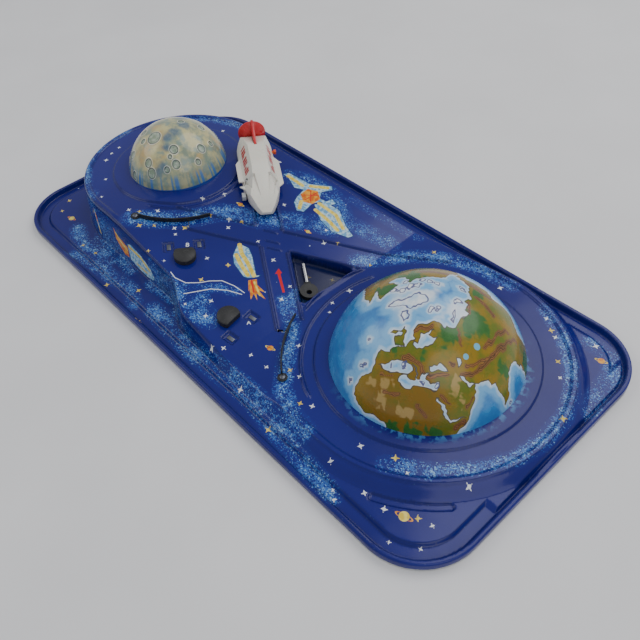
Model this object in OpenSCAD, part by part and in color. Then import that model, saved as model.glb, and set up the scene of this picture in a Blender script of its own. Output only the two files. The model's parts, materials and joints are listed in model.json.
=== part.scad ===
/* [Track board] */
// length of the pressed tin board, mm
board_l = 600; // [540:1:660]
// width of the pressed tin board, mm
board_w = 290; // [260:1:320]
// plan radius of the four board corners, mm
corner_r = 54; // [40:1:70]
// height of the rolled rim round the board, mm
rim_h = 9; // [7:0.5:12]
// level of the deck at the Moon end, mm
moon_z = 49; // [40:1:60]
// level of the deck at the Earth end, mm
earth_z = 14; // [11:1:20]
// tin sheet thickness as modelled, mm
sheet_t = 0.8; // [0.5:0.1:1.2]

/* [Planets] */
// radius of the Earth dome where it leaves the deck, mm
earth_r = 83; // [70:1:90]
// height of the Earth dome above the deck, mm
earth_h = 69; // [55:1:80]
// radius of the Moon dome where it leaves the deck, mm
moon_r = 52; // [44:1:58]
// height of the Moon dome above the deck, mm
moon_h = 47; // [38:1:52]

/* [Lanes] */
// clear width between the guide ribs of a lane, mm
lane_w = 21.6; // [20:0.2:24]
// height of the guide ribs, mm
rib_h = 1.5; // [1:0.1:2.5]

/* [Switches] */
// diameter of the black switch knobs, mm
knob_d = 21; // [18:0.5:24]
// height of the switch knobs, mm
knob_h = 6; // [4:0.5:8]
// height of the switch blades, mm
blade_h = 5; // [4:0.5:7]

/* [Rocket] */
// length of the rocket body, mm
body_l = 101; // [90:1:110]
// width of the rocket body, mm
body_w = 37; // [32:1:40]
// height of the roof above the deck, mm
body_top = 27; // [24:1:32]
// diameter of the driven rear wheels, mm
wheel_d = 14; // [12:0.5:16]
// diameter of the red tail nozzle, mm
nozzle_d = 29; // [24:1:32]

/* [Winding key] */
// diameter of the key bow, mm
bow_d = 17; // [14:0.5:20]
// length of the key shank, mm
shank_l = 25; // [18:1:30]

/* [Hidden] */
$fn = 96;
t = sheet_t;
ex = 165; ey = 9;            // centre of the Earth
mx = -182; my = 3;           // centre of the Moon
wmx = -183.5; wmy = 1;       // centre of the raised Moon end of the deck
earth_deck_r = 124;
moon_deck_r = 98;
ramp_a = -140;               // the ramp leaves the Moon level here
ramp_b = 52;                 // and reaches the Earth level here
ramp_deg = atan((moon_z - earth_z) / (ramp_b - ramp_a));
earth_R = (earth_r * earth_r + earth_h * earth_h) / (2 * earth_h);
moon_R = (moon_r * moon_r + moon_h * moon_h) / (2 * moon_h);
rib_w = 2.4;
rib_off = lane_w / 2 + rib_w / 2;
t1_deg = -31.8;              // plan heading of the track from Moon to Earth, rocket's lane
t2_deg = 33.8;               // plan heading of the second track
cross_x = -32.6; cross_y = 5.5;
knob_a_at = [15.5, -86, 10];               // x, y and heading of knob A
knob_b_at = [-66, -73, 148];               // the same of knob B
tab_x = 14.5; tab_y = 14.5;                // bracket tabs, from the knob axis
pa_x = 97; pa_y = -93;                     // pivot of blade A
pb_x = -138.3; pb_y = -79.1;               // pivot of blade B
leg_r = 53;                                // blade pivot to its working leg
throw_deg = 66;                            // knob travel
draw = 8.7;                                // link travel
crank_r = 8;
pin_r = 0.9;
blade_a_r = 122.6;                         // plan radius of the strip of each blade
blade_b_r = 93;
leg_a = 133.8;                             // heading from the pivot to the leg
leg_b = 44;
tray = [[-6.8, 7.2], [42, -24.2], [45.4, -22.6], [47.2, 37.2], [43.6, 39.2], [-3, 12.6], [-7.6, 9.3]];
tray_d = 9;
// links: the crank pin's mean offset from the knob axis, across and along the link
pin_across = 7.35; pin_along = crank_r * sin(throw_deg / 2);
link_a_z = 9.4;
axis_a = [knob_a_at[0] - (deck_z(knob_a_at[0]) - link_a_z) * tan(ramp_deg), knob_a_at[1]];
to_leg_a = [pa_x + leg_r * cos(leg_a), pa_y + leg_r * sin(leg_a)] - axis_a;
link_a_deg = atan2(to_leg_a.y, to_leg_a.x) + asin(pin_across / norm(to_leg_a));
link_a_at = axis_a + pin_along * dir(link_a_deg) + pin_across * dir(link_a_deg - 90);
link_a_l = norm(to_leg_a) * cos(asin(pin_across / norm(to_leg_a))) - pin_along;
crank_a_deg = link_a_deg - 90 + throw_deg / 2;
axis_b = [knob_b_at[0] / cos(ramp_deg), knob_b_at[1]];
to_leg_b = [pb_x / cos(ramp_deg) + leg_r * cos(leg_b), pb_y + leg_r * sin(leg_b)] - axis_b;
link_b_deg = atan2(to_leg_b.y, to_leg_b.x) - asin(pin_across / norm(to_leg_b));
link_b_at = axis_b + pin_along * dir(link_b_deg) + pin_across * dir(link_b_deg + 90);
link_b_l = norm(to_leg_b) * cos(asin(pin_across / norm(to_leg_b))) - pin_along;
crank_b_deg = link_b_deg + 90 - throw_deg / 2;
key_x = 33.7; key_y = -7.3; key_deg = -33;
rk_back = 80;                              // rocket reference point, back from the crossing along its lane
rk_x = cross_x - rk_back * cos(t1_deg);
rk_y = cross_y - rk_back * sin(t1_deg);
rk_deg = atan(tan(t1_deg) * cos(ramp_deg));
gear_m = 0.5;                              // gear module
wheel_n = 36; third_n = 30; pinion_n = 12; // teeth
far_pair = gear_m * (wheel_n + pinion_n) / 2;
near_pair = gear_m * (third_n + pinion_n) / 2;
axle_x = -18; axle_z = wheel_d / 2 + 0.2;
second_x = -7.8; second_z = axle_z + sqrt(pow(far_pair, 2) - pow(second_x - axle_x, 2));
third_x = 2; third_z = second_z + sqrt(pow(near_pair, 2) - pow(third_x - second_x, 2));
arbor_x = 13.5; arbor_z = third_z - sqrt(pow(far_pair, 2) - pow(arbor_x - third_x, 2));
front_x = 31; front_r = 4.5; front_z = front_r + 0.2;
plate_y = 6.6; plate_t = 0.8;              // motor plates
chassis_z = 3.6; chassis_t = 1.2;
shell_t = 1;

function deck_z(x) = x <= ramp_a ? moon_z : x >= ramp_b ? earth_z
    : moon_z - (moon_z - earth_z) * (x - ramp_a) / (ramp_b - ramp_a);
function dir(a) = [cos(a), sin(a)];
function left_of(v) = [-v.y, v.x] / norm(v);
// a counter-clockwise outline moved inwards by d
function inset(p, d) = [for (i = [0:len(p) - 1])
    let (a = p[(i + len(p) - 1) % len(p)], b = p[i], c = p[(i + 1) % len(p)],
        m = left_of(b - a), n = left_of(c - b))
    b + d * (m + n) / (1 + m * n)];
function s_bend(x) = -97 - 18 * (1 - cos(180 * (x + 60) / 50)) / 2;

// ---------- frames ----------
module on_ramp(x, y, a) { translate([x, y, deck_z(x)]) rotate([0, ramp_deg, 0]) rotate([0, 0, a]) children(); }
module rocket_frame() { on_ramp(rk_x, rk_y, rk_deg) children(); }

// ---------- plan shapes of the pressing ----------
module board2d(d) {
    l = board_l - 2 * d; w = board_w - 2 * d; r = corner_r - d;
    square([l - 2 * r, w], center = true);
    square([l, w - 2 * r], center = true);
    for (sx = [-1, 1], sy = [-1, 1]) translate([sx * (l / 2 - r), sy * (w / 2 - r)]) circle(r = r);
}
module deck2d(d) {
    translate([ex, ey]) circle(r = earth_deck_r - d);
    translate([wmx, wmy]) circle(r = moon_deck_r - d);
    polygon(concat([[wmx, -97 + d]], [for (i = [0:10]) [-60 + 5 * i, s_bend(-60 + 5 * i) + d]],
        [[ex, -115 + d], [ex, 133 - d], [75, 125.5 - d], [-150, 93 - d], [wmx, 99 - d]]));
}
module tray2d(g) { polygon(inset(tray, -g)); }
module profile(dz) {
    rotate([90, 0, 0]) linear_extrude(height = board_w + 20, center = true)
        polygon([[-board_l, 0.001], [-board_l, moon_z + dz], [ramp_a, moon_z + dz], [ramp_b, earth_z + dz],
            [board_l, earth_z + dz], [board_l, 0.001]]);
}
module raised(h) { intersection() { linear_extrude(height = moon_z + 20) children(); profile(h); } }
module ring2d(x, y, r1, r2) { translate([x, y]) difference() { circle(r = r2); circle(r = r1); } }
// g: start, end and side of the rib along a lane of heading deg
module lane_rib(g, deg, half) {
    translate([cross_x, cross_y]) rotate(deg) translate([g[0], g[2] * rib_off - half]) square([g[1] - g[0], 2 * half]);
}

module form(d) {
    // board floor, rolled rim and border groove
    linear_extrude(height = 3.5 - d) board2d(d);
    linear_extrude(height = rim_h - d) difference() { board2d(d); board2d(5 - d); }
    difference() {
        linear_extrude(height = 6 - d) board2d(17 + d);
        // long shallow recess beside the Earth
        translate([ex, ey, 4.8 - d]) rotate(-66 - d / 2.4) rotate_extrude(angle = 26 + d / 1.2)
            translate([134.5 - d, 0]) square([5 + 2 * d, 4]);
    }
    // sloping deck with its tray
    difference() {
        intersection() { linear_extrude(height = moon_z + 5) deck2d(d); profile(-d); }
        difference() { linear_extrude(height = moon_z + 10) tray2d(d); profile(-tray_d - d); }
        for (k = [knob_a_at, knob_b_at]) on_ramp(k[0], k[1], k[2])
            for (s = [-1, 1]) translate([tab_x - 6 - d, s * tab_y - 5 - d, -1.6 - d]) cube([12 + 2 * d, 10 + 2 * d, 6]);
    }
    // the two planets
    translate([ex, ey, earth_z + earth_h - earth_R]) dome(earth_R - d, earth_R - earth_h - 12);
    translate([mx, my, moon_z + moon_h - moon_R]) dome(moon_R - d, moon_R - moon_h - 12);
}
module dome(r, cut) { intersection() { sphere(r = r); translate([0, 0, cut]) cylinder(h = 2 * r, r = r + 5); } }

module blade_slot() { translate([leg_r - 2.4, -1.1, -4]) cube([4, draw + 2.3, 8]); }
module at_knob(k) { on_ramp(k[0], k[1], 0) children(); }
module at_blade_a() { translate([pa_x, pa_y, earth_z]) rotate(leg_a) children(); }
module at_blade_b() { on_ramp(pb_x, pb_y, leg_b) mirror([0, 1, 0]) children(); }

module track_plate() color([0.10, 0.18, 0.62]) {
    difference() {
        union() {
            form(0);
            // raised borders, rings round the planets and lane ribs
            raised(1.4) intersection() {
                difference() { deck2d(0.02); deck2d(6.5); }
                union() {
                    translate([-300, -150]) square([155, 300]);
                    translate([112, -150]) square([188, 300]);
                }
            }
            raised(1.2) ring2d(ex, ey, 60, 95);
            raised(1.2) ring2d(mx, my, 36, 69);
            raised(rib_h) {
                for (g = [[-62, -21, -1], [10, 107, -1], [-42, -10, 1], [21, 99, 1]]) lane_rib(g, t1_deg, rib_w / 2);
                for (g = [[-100, -21, 1], [10, 172, 1], [-81, -10, -1], [21, 91, -1]]) lane_rib(g, t2_deg, rib_w / 2);
                intersection() {
                    ring2d(ex, ey, 118.2, 120.6);
                    polygon([[58, -31], [58, 42], [20, 30], [20, -20]]);
                }
            }
        }
        difference() {
            translate([0, 0, -0.01]) form(t);
            // the folded hem of the flange stays
            linear_extrude(height = 1.6) difference() { board2d(0); board2d(2.2); }
        }
        for (k = [knob_a_at, knob_b_at]) {
            at_knob(k) translate([0, 0, -4]) cylinder(h = 8, r = 2.4, $fn = 48);
            at_knob(k) rotate(k[2]) for (s = [-1, 1]) translate([tab_x - 3.2, s * tab_y - 2.4, -5]) cube([6.4, 4.8, 6]);
        }
        at_blade_a() { blade_slot(); translate([0, 0, -3]) cylinder(h = 6, r = 1.5, $fn = 48); }
        at_blade_b() { blade_slot(); translate([0, 0, -3]) cylinder(h = 6, r = 1.5, $fn = 48); }
        // guide channel of the second lane across the rocket's lane
        difference() {
            intersection() {
                linear_extrude(height = moon_z) lane_rib([-6, 6, -1], t2_deg, 1.2);
                profile(2);
            }
            profile(-0.4);
        }
    }
}

// ---------- switches ----------
module knob() color([0.05, 0.05, 0.05]) difference() {
    intersection() {
        union() {
            translate([0, 0, 0.4]) cylinder(h = knob_h - 1, r = knob_d / 2);
            translate([0, 0, knob_h - 0.6]) cylinder(h = 1, r1 = knob_d / 2, r2 = knob_d / 2 - 0.9);
        }
        translate([-knob_d, -knob_d, 0]) cube([knob_d + 6.5, 2 * knob_d, 20]);
    }
    cylinder(h = 4.9, r = 2, $fn = 48);
    // hollow underside round the boss
    difference() {
        intersection() {
            cylinder(h = 3.4, r = knob_d / 2 - 1.6);
            translate([-knob_d, -knob_d, 0]) cube([knob_d + 4.9, 2 * knob_d, 20]);
        }
        cylinder(h = 3.5, r = 3.6, $fn = 48);
    }
}
module spindle() color([0.72, 0.72, 0.74]) {
    translate([0, 0, -5]) cylinder(h = 9.9, r = 2, $fn = 48);
    translate([0, 0, -6.9]) cylinder(h = 2, r = 1.4, $fn = 48);
}
// crank with its pin at angle a, the pin reaching d below the plate
module crank(a, d) color([0.62, 0.62, 0.65]) translate([0, 0, -6.2]) {
    difference() {
        linear_extrude(height = 1.2) {
            circle(r = 4.2, $fn = 48);
            rotate(a) translate([0, -2.2]) square([crank_r, 4.4]);
            rotate(a) translate([crank_r, 0]) circle(r = 2.2, $fn = 48);
        }
        translate([0, 0, -1]) cylinder(h = 3, r = 1.4, $fn = 48);
    }
    rotate(a) translate([crank_r, 0, -d]) cylinder(h = d + 0.4, r = pin_r, $fn = 48);
}
// strap bracket under the deck with two bent tabs that stand in the deck windows
module bracket() color([0.70, 0.70, 0.72]) difference() {
    union() {
        translate([-7, -7, -4.2]) cube([24.5, 14, 1]);
        translate([tab_x - 3, -tab_y - 4, -4.2]) cube([6, 2 * tab_y + 8, 1]);
        for (s = [-1, 1]) {
            translate([tab_x - 2.8, s * tab_y - 1.9, -4]) cube([0.9, 3.8, 3]);
            translate([tab_x - 2.8, s * tab_y - 1.9, -1.6]) cube([7, 3.8, 0.7]);
            translate([-5.2, s * 5.2, -3.4]) cylinder(h = 3.4 - t, r = 1.5, $fn = 32);
        }
    }
    translate([0, 0, -6]) cylinder(h = 4, r = 2.06, $fn = 48);
}
module friction_washer() color([0.80, 0.70, 0.45]) translate([0, 0, -4.6]) difference() {
    cylinder(h = 0.4, r = 3.9, $fn = 48);
    translate([0, 0, -1]) cylinder(h = 3, r = 2.5, $fn = 48);
}
// link from the crank pin at the origin to the blade leg at x = l
module link(l) color([0.66, 0.66, 0.69]) difference() {
    linear_extrude(height = 1) {
        translate([-2.7, -3.9]) square([5.4, 7.8]);
        translate([0, -1.8]) square([l, 3.6]);
        translate([l - 2.9, -4.6]) square([5.8, 9.2]);
    }
    translate([-1.45, -2.3, -1]) cube([2.9, 4.6, 3]);
    translate([l - 1.35, -3.2, -1]) cube([2.7, 6.4, 3]);
}
// staple round the middle of a link; reaches h above the link's underside
module link_guide(l, h) color([0.58, 0.58, 0.60]) translate([l - 18, 0, -1.4]) difference() {
    translate([-1.5, -3.2, 0]) cube([3, 6.4, h]);
    translate([-2, -2.3, 1]) cube([4, 4.6, 1.9]);
}
// blade in its own frame: pivot at the origin, leg on the X axis, swings towards +Y
module blade(r, sweep, foot, relief) color([0.06, 0.06, 0.06]) {
    lead = asin(leg_r / 2 / r);
    difference() {
        union() {
            translate([0, 0, 0.3]) cylinder(h = 1, r = 4.4, $fn = 48);
            rotate(lead) translate([0, -r, 0.3]) rotate(90 - sweep) rotate_extrude(angle = sweep)
                translate([r - 0.6, 0]) square([1.2, blade_h]);
        }
        translate([0, 0, -1]) cylinder(h = 4, r = 1.56, $fn = 48);
        translate([0, 0, 1.3]) cylinder(h = 8, r = 3.4, $fn = 48);
        // the free end clears the start of the ramp
        translate([0, 0, -1]) difference() {
            cylinder(h = 1 + relief, r = 2 * leg_r);
            translate([0, 0, -1]) cylinder(h = 9, r = leg_r + 5);
        }
    }
    translate([leg_r - 1.2, -0.6, -foot]) cube([2.4, 1.2, foot + 1]);
}
module blade_rivet() color([0.75, 0.75, 0.76]) {
    translate([0, 0, -t - 0.4]) cylinder(h = 2.8, r = 1.5, $fn = 48);
    translate([0, 0, 1.5]) cylinder(h = 0.8, r1 = 2.9, r2 = 2.2, $fn = 48);
    translate([0, 0, -t - 1.2]) cylinder(h = 0.9, r = 2.6, $fn = 48);
}

module knob_a() at_knob(knob_a_at) rotate(knob_a_at[2]) knob();
module knob_b() at_knob(knob_b_at) rotate(knob_b_at[2]) knob();
module spindle_a() at_knob(knob_a_at) spindle();
module spindle_b() at_knob(knob_b_at) spindle();
module crank_a() at_knob(knob_a_at) crank(crank_a_deg, 6.6);
module crank_b() at_knob(knob_b_at) crank(crank_b_deg, 2.8);
module bracket_a() at_knob(knob_a_at) rotate(knob_a_at[2]) bracket();
module bracket_b() at_knob(knob_b_at) rotate(knob_b_at[2]) bracket();
module friction_washer_a() at_knob(knob_a_at) friction_washer();
module friction_washer_b() at_knob(knob_b_at) friction_washer();
module at_link_a() { translate([link_a_at.x, link_a_at.y, link_a_z]) rotate(link_a_deg) children(); }
module at_link_b() { on_ramp(0, 0, 0) translate([link_b_at.x, link_b_at.y, -8.4]) rotate(link_b_deg) children(); }
module link_a() at_link_a() link(link_a_l);
module link_b() at_link_b() link(link_b_l);
module link_guide_a() intersection() { at_link_a() link_guide(link_a_l, 12); profile(-t - 0.05); }
module link_guide_b() at_link_b() link_guide(link_b_l, 8.4 + 1.4 - t);
module blade_a() at_blade_a() blade(blade_a_r, 33.2, 5.2, 2.2);
module blade_b() at_blade_b() blade(blade_b_r, 46.3, 9, 1);
module blade_rivet_a() at_blade_a() blade_rivet();
module blade_rivet_b() at_blade_b() blade_rivet();

// ---------- winding key, lying in the well ----------
module in_well() {
    translate([key_x, key_y, deck_z(key_x) - tray_d]) rotate([0, ramp_deg, 0]) rotate([0, 0, key_deg])
        translate([0, 0, 0.3]) children();
}
module key_bow() color([0.06, 0.06, 0.06]) in_well() difference() {
    union() {
        cylinder(h = 4.6, r = bow_d / 2);
        translate([-bow_d / 2 - 2, -3, 0]) cube([6, 6, 4.6]);
    }
    translate([2, 0, -1]) cylinder(h = 8, r = 2.6, $fn = 48);
    translate([-bow_d / 2 - 3, 0, 2.3]) rotate([0, 90, 0]) cylinder(h = 7, r = 2, $fn = 48);
}
module key_shank() color([0.78, 0.78, 0.80]) in_well() translate([-bow_d / 2 - shank_l, 0, 2.3]) difference() {
    rotate([0, 90, 0]) cylinder(h = shank_l + 4, r = 2, $fn = 48);
    translate([-1, -1.3, -1.3]) cube([8, 2.6, 2.6]);
}

// ---------- rocket, in its own frame: X forwards, Z off the lane ----------
rear = -body_l / 2;
nose = rear + body_l + 2.5;
side_pts = [[rear, 3], [nose - 2, 3], [nose, 5], [nose, 8], [nose - 6, 12.5], [17, body_top - 1.6], [6, body_top],
    [-26, body_top], [-44, 21], [rear, 17]];
half_w = body_w / 2;
plan_pts = [[rear, -12], [-44, -half_w + 1.8], [-38, -half_w], [18, -half_w], [34, -half_w + 3.5], [nose - 5, -8.5],
    [nose, -4.5], [nose, 4.5], [nose - 5, 8.5], [34, half_w - 3.5], [18, half_w], [-38, half_w], [-44, half_w - 1.8],
    [rear, 12]];
section_pts = [[-half_w, 2], [half_w, 2], [half_w, 9], [9.5, body_top - 2], [8, body_top + 1], [-8, body_top + 1],
    [-9.5, body_top - 2], [-half_w, 9]];
module slab(y0, y1) { translate([0, y1, 0]) rotate([90, 0, 0]) linear_extrude(height = y1 - y0) children(); }
module bar_y(x, z, y0, y1, r) { slab(y0, y1) translate([x, z]) circle(r = r, $fn = 48); }
module body_form(d) {
    intersection() {
        slab(-40, 40) polygon(inset(side_pts, d));
        linear_extrude(height = 60) polygon(inset(plan_pts, d));
        rotate([90, 0, 90]) translate([0, 0, -80]) linear_extrude(height = 160) polygon(inset(section_pts, d));
    }
}
module window2d() { polygon([[15, 7], [37, 4], [38, 9.5], [15, 16.5]]); }
module shell_boss(x, top) { translate([x, 0, chassis_z + chassis_t]) cylinder(h = top, r = 2.6, $fn = 48); }
module rocket_shell() color([0.88, 0.87, 0.82]) rocket_frame() difference() {
    union() {
        difference() {
            body_form(0);
            body_form(shell_t);
            linear_extrude(height = 6) polygon(inset(plan_pts, shell_t));
        }
        intersection() {
            union() { shell_boss(-38, 17.4); shell_boss(42, 9); }
            body_form(shell_t / 2);
        }
        for (s = [-1, 1]) translate([0, 0, 9.3]) linear_extrude(height = 1.6)
            polygon([[-24, s * 17], [-16, s * 22.5], [17, s * 22.5], [22, s * 17]]);
    }
    // printed cockpit panes stand in shallow recesses
    for (s = [0, 1]) mirror([0, s, 0]) difference() { linear_extrude(height = 40) window2d(); body_form(0.5); }
    // winding hole, slot for the fin, slot for the stop lever, screw holes
    bar_y(arbor_x, arbor_z, -30, -12, 3.4);
    translate([arbor_x - 3.5, -30, 8.2]) cube([7, 12.6, 6]);
    translate([-60, -1.6, 19]) cube([34, 3.2, 20]);
    translate([-38.4, 12, 7.9]) cube([8.6, 20, 2.4]);
    for (x = [-38, 42]) translate([x, 0, 0]) cylinder(h = 12, r = 1, $fn = 48);
}
module tail_nozzle() color([0.80, 0.06, 0.07]) rocket_frame() {
    translate([rear, 0, nozzle_d / 2 + 2.3]) rotate([0, -90, 0]) rotate_extrude()
        polygon([[0, 0], [9, 0], [nozzle_d / 2 - 0.8, 5.2], [nozzle_d / 2, 5.8], [nozzle_d / 2, 7], [nozzle_d / 2 - 1.4, 7],
            [8, 2], [0, 2]]);
    slab(-1.3, 1.3) polygon([[-27, body_top - 0.6], [-44, 20.4], [rear + 0.2, 19.4], [rear - 5.5, 26.4],
        [rear - 5.5, 34], [rear + 0.5, 34]]);
}
module rocket_chassis() color([0.74, 0.75, 0.77]) rocket_frame() difference() {
    union() {
        translate([0, 0, chassis_z]) linear_extrude(height = chassis_t) polygon(inset(plan_pts, shell_t + 0.2));
        for (s = [-1, 1]) slab(s * 5.4 - 0.5, s * 5.4 + 0.5) translate([front_x - 2.6, 2.8]) square([5.2, 4.6]);
        translate([-32, 9, chassis_z + 1]) cylinder(h = 6.6, r = 1, $fn = 48);
    }
    // openings for the clockwork, the rear wheels, the front wheels and their axle
    translate([-23, -6.2, 0]) cube([47, 12.4, 10]);
    for (s = [-1, 1]) {
        translate([axle_x - 8, s * 9.2 - 1.8, 0]) cube([16, 3.6, 10]);
        translate([front_x - 5.3, s * 8.3 - 1.9, 0]) cube([10.6, 3.8, 10]);
    }
    for (s = [-1, 0, 1]) translate([front_x - 1.4, s * 8.2 - (s == 0 ? 4.7 : 2.2), 0]) cube([2.8, s == 0 ? 9.4 : 4.4, 10]);
    bar_y(front_x, front_z, -12, 12, 0.96);
    for (x = [-38, 42]) translate([x, 0, 0]) cylinder(h = 12, r = 1, $fn = 48);
}
module body_screws() color([0.70, 0.70, 0.72]) rocket_frame() for (x = [-38, 42]) translate([x, 0, 0]) {
    translate([0, 0, chassis_z - 1]) difference() {
        cylinder(h = 1, r = 2, $fn = 48);
        translate([-2.5, -0.3, -0.1]) cube([5, 0.6, 0.6]);
    }
    translate([0, 0, chassis_z]) cylinder(h = 7, r = 1, $fn = 48);
}
module guide_shoe() color([0.10, 0.10, 0.11]) rocket_frame() {
    translate([-6, -10.3, chassis_z - 0.8]) cube([28, 20.6, 0.8]);
    for (s = [-1, 1]) translate([-6, s * 9.6 - 0.7, 0.6]) cube([28, 1.4, chassis_z - 1.2]);
}
module side_block() color([0.30, 0.31, 0.33]) rocket_frame() difference() {
    translate([23, -21.5, 3.2]) cube([6.5, 8, 5]);
    body_form(0);
    translate([20, -half_w + shell_t, 0]) cube([20, 10, 20]);
}
module motor_plate() {
    difference() {
        polygon([[-24, chassis_z + chassis_t], [25, chassis_z + chassis_t], [25, 12], [20, 20], [14, 24], [-9, 25.4],
            [-24, 17]]);
        translate([axle_x, axle_z]) circle(r = 1.06, $fn = 48);
        translate([second_x, second_z]) circle(r = 0.81, $fn = 48);
        translate([third_x, third_z]) circle(r = 0.81, $fn = 48);
        children();
    }
}
module motor_plate_left() color([0.80, 0.72, 0.45]) rocket_frame() slab(-plate_y - plate_t, -plate_y) motor_plate()
    translate([arbor_x, arbor_z]) circle(r = 1.56, $fn = 48);
module motor_plate_right() color([0.80, 0.72, 0.45]) rocket_frame() slab(plate_y, plate_y + plate_t) motor_plate()
    translate([arbor_x, arbor_z]) circle(r = 1.26, $fn = 48);
module motor_pillars() color([0.75, 0.75, 0.77]) rocket_frame()
    for (p = [[-21, 14.5], [22.5, 6.5], [-6, 24.3]]) bar_y(p.x, p.y, -plate_y, plate_y, 1);

// ---------- clockwork ----------
module gear2d(n, phase) {
    r = gear_m * n / 2;
    tip = r + 0.35;
    root = r - 0.55;
    step = 360 / n;
    polygon([for (i = [0:n - 1], c = [[root, -0.27], [tip, -0.10], [tip, 0.10], [root, 0.27]])
        let (a = phase + (i + c[1]) * step) c[0] * [cos(a), sin(a)]]);
}
function heading(x0, z0, x1, z1) = atan2(z1 - z0, x1 - x0);
axle_to_second = heading(axle_x, axle_z, second_x, second_z);
second_to_third = heading(second_x, second_z, third_x, third_z);
third_to_arbor = heading(third_x, third_z, arbor_x, arbor_z);
module wheel_and_pinion(x, z, wheel_y, wheel_t, n, wheel_phase, pinion_y, pinion_phase) {
    difference() {
        union() {
            slab(wheel_y, wheel_y + wheel_t) translate([x, z]) gear2d(n, wheel_phase);
            slab(pinion_y, pinion_y + 2.5) translate([x, z]) gear2d(pinion_n, pinion_phase);
            bar_y(x, z, -plate_y + 0.3, plate_y - 0.3, 1);
            bar_y(x, z, -plate_y - plate_t - 0.2, plate_y + plate_t + 0.2, 0.75);
        }
        // spokes left between round openings
        for (a = [0:60:300]) if (n > 20) bar_y(x + cos(a) * n / 7.4, z + sin(a) * n / 7.4, wheel_y - 0.1,
            wheel_y + wheel_t + 0.1, n / 22);
    }
}
module second_wheel() color([0.82, 0.66, 0.30]) rocket_frame()
    wheel_and_pinion(second_x, second_z, -5.4, 1.8, wheel_n, axle_to_second + 180 + 180 / wheel_n, -1, second_to_third);
module third_wheel() color([0.82, 0.66, 0.30]) rocket_frame()
    wheel_and_pinion(third_x, third_z, -0.9, 1.8, third_n, second_to_third + 180 + 180 / third_n, 2.5, third_to_arbor);
module great_gear() color([0.82, 0.66, 0.30]) rocket_frame() slab(3, 4.6) translate([arbor_x, arbor_z]) difference() {
    gear2d(wheel_n, third_to_arbor + 180 + 180 / wheel_n);
    circle(r = 2.06, $fn = 48);
}
module click() color([0.60, 0.60, 0.63]) rocket_frame() {
    slab(1.5, 2.5) translate([arbor_x, arbor_z]) polygon([[-1.6, 4.9], [0.2, 4.7], [5.2, 4.4], [6.6, 5.4], [5.6, 6.6], [4, 6.4]]);
    bar_y(arbor_x + 5.2, arbor_z + 5.4, 2.5, 3, 0.7);
}
module ratchet_wheel() color([0.60, 0.60, 0.63]) rocket_frame() slab(1.4, 2.4) translate([arbor_x, arbor_z]) difference() {
    polygon([for (i = [0:11], c = [[4.2, 0], [3.2, 0.9]]) c[0] * [cos(30 * (i + c[1])), sin(30 * (i + c[1]))]]);
    circle(r = 2, $fn = 48);
}
module winding_arbor() color([0.68, 0.68, 0.70]) rocket_frame() {
    slab(-16, -8) translate([arbor_x - 1.25, arbor_z - 1.25]) square([2.5, 2.5]);
    bar_y(arbor_x, arbor_z, -8.2, -5.8, 1.5);
    bar_y(arbor_x, arbor_z, -6.1, 5.2, 2);
    bar_y(arbor_x, arbor_z, 5, 7.7, 1.2);
}
// flat spiral of spring strip
module mainspring() color([0.30, 0.33, 0.42]) rocket_frame() slab(-5.5, -1.3) translate([arbor_x, arbor_z]) {
    turns = 6;
    steps = 20 * turns;
    polygon([for (side = [0, 1], k = [0:steps]) let (i = side == 0 ? k : steps - k, a = 360 * turns * i / steps)
        (2.9 + 6 * i / steps + side * 0.35) * [cos(a), sin(a)]]);
}
module rear_axle() color([0.70, 0.70, 0.72]) rocket_frame() {
    bar_y(axle_x, axle_z, -10.8, 10.8, 1);
    slab(-5.8, -3.2) translate([axle_x, axle_z]) gear2d(pinion_n, axle_to_second);
}
module ring_y(x, z, y0, y1, r0, r1) { slab(y0, y1) translate([x, z]) difference() { circle(r = r1); circle(r = r0); } }
module rear_wheels() color([0.85, 0.84, 0.80]) rocket_frame()
    for (s = [-1, 1]) ring_y(axle_x, axle_z, s * 9.1 - 1.2, s * 9.1 + 1.2, 1, wheel_d / 2 - 1.4);
module rear_tyres() color([0.05, 0.05, 0.05]) rocket_frame()
    for (s = [-1, 1]) ring_y(axle_x, axle_z, s * 9.1 - 1.2, s * 9.1 + 1.2, wheel_d / 2 - 1.4, wheel_d / 2);
module front_axle() color([0.70, 0.70, 0.72]) rocket_frame() bar_y(front_x, front_z, -9.8, 9.8, 0.9);
module front_wheels() color([0.05, 0.05, 0.05]) rocket_frame()
    for (s = [-1, 1]) ring_y(front_x, front_z, s * 8.3 - 1.2, s * 8.3 + 1.2, 0.9, front_r);
module stop_lever() color([0.85, 0.25, 0.10]) rocket_frame() translate([-32, 9, 8.3]) difference() {
    union() {
        cylinder(h = 1.6, r = 2.4, $fn = 48);
        translate([-1.5, 0, 0]) cube([3, 12.8, 1.6]);
        translate([-1.8, 10.6, -0.8]) cube([3.6, 2.6, 3.6]);
    }
    translate([0, 0, -1]) cylinder(h = 4, r = 1.06, $fn = 48);
}

track_plate();
knob_a();
spindle_a();
crank_a();
bracket_a();
friction_washer_a();
link_a();
link_guide_a();
blade_a();
blade_rivet_a();
knob_b();
spindle_b();
crank_b();
bracket_b();
friction_washer_b();
link_b();
link_guide_b();
blade_b();
blade_rivet_b();
key_bow();
key_shank();
rocket_shell();
tail_nozzle();
rocket_chassis();
body_screws();
guide_shoe();
side_block();
motor_plate_left();
motor_plate_right();
motor_pillars();
mainspring();
winding_arbor();
ratchet_wheel();
great_gear();
click();
third_wheel();
second_wheel();
rear_axle();
rear_wheels();
rear_tyres();
front_axle();
front_wheels();
stop_lever();
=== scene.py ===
import json
import math

import bmesh
import bpy
import numpy as np
from mathutils import Matrix, Vector

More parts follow.
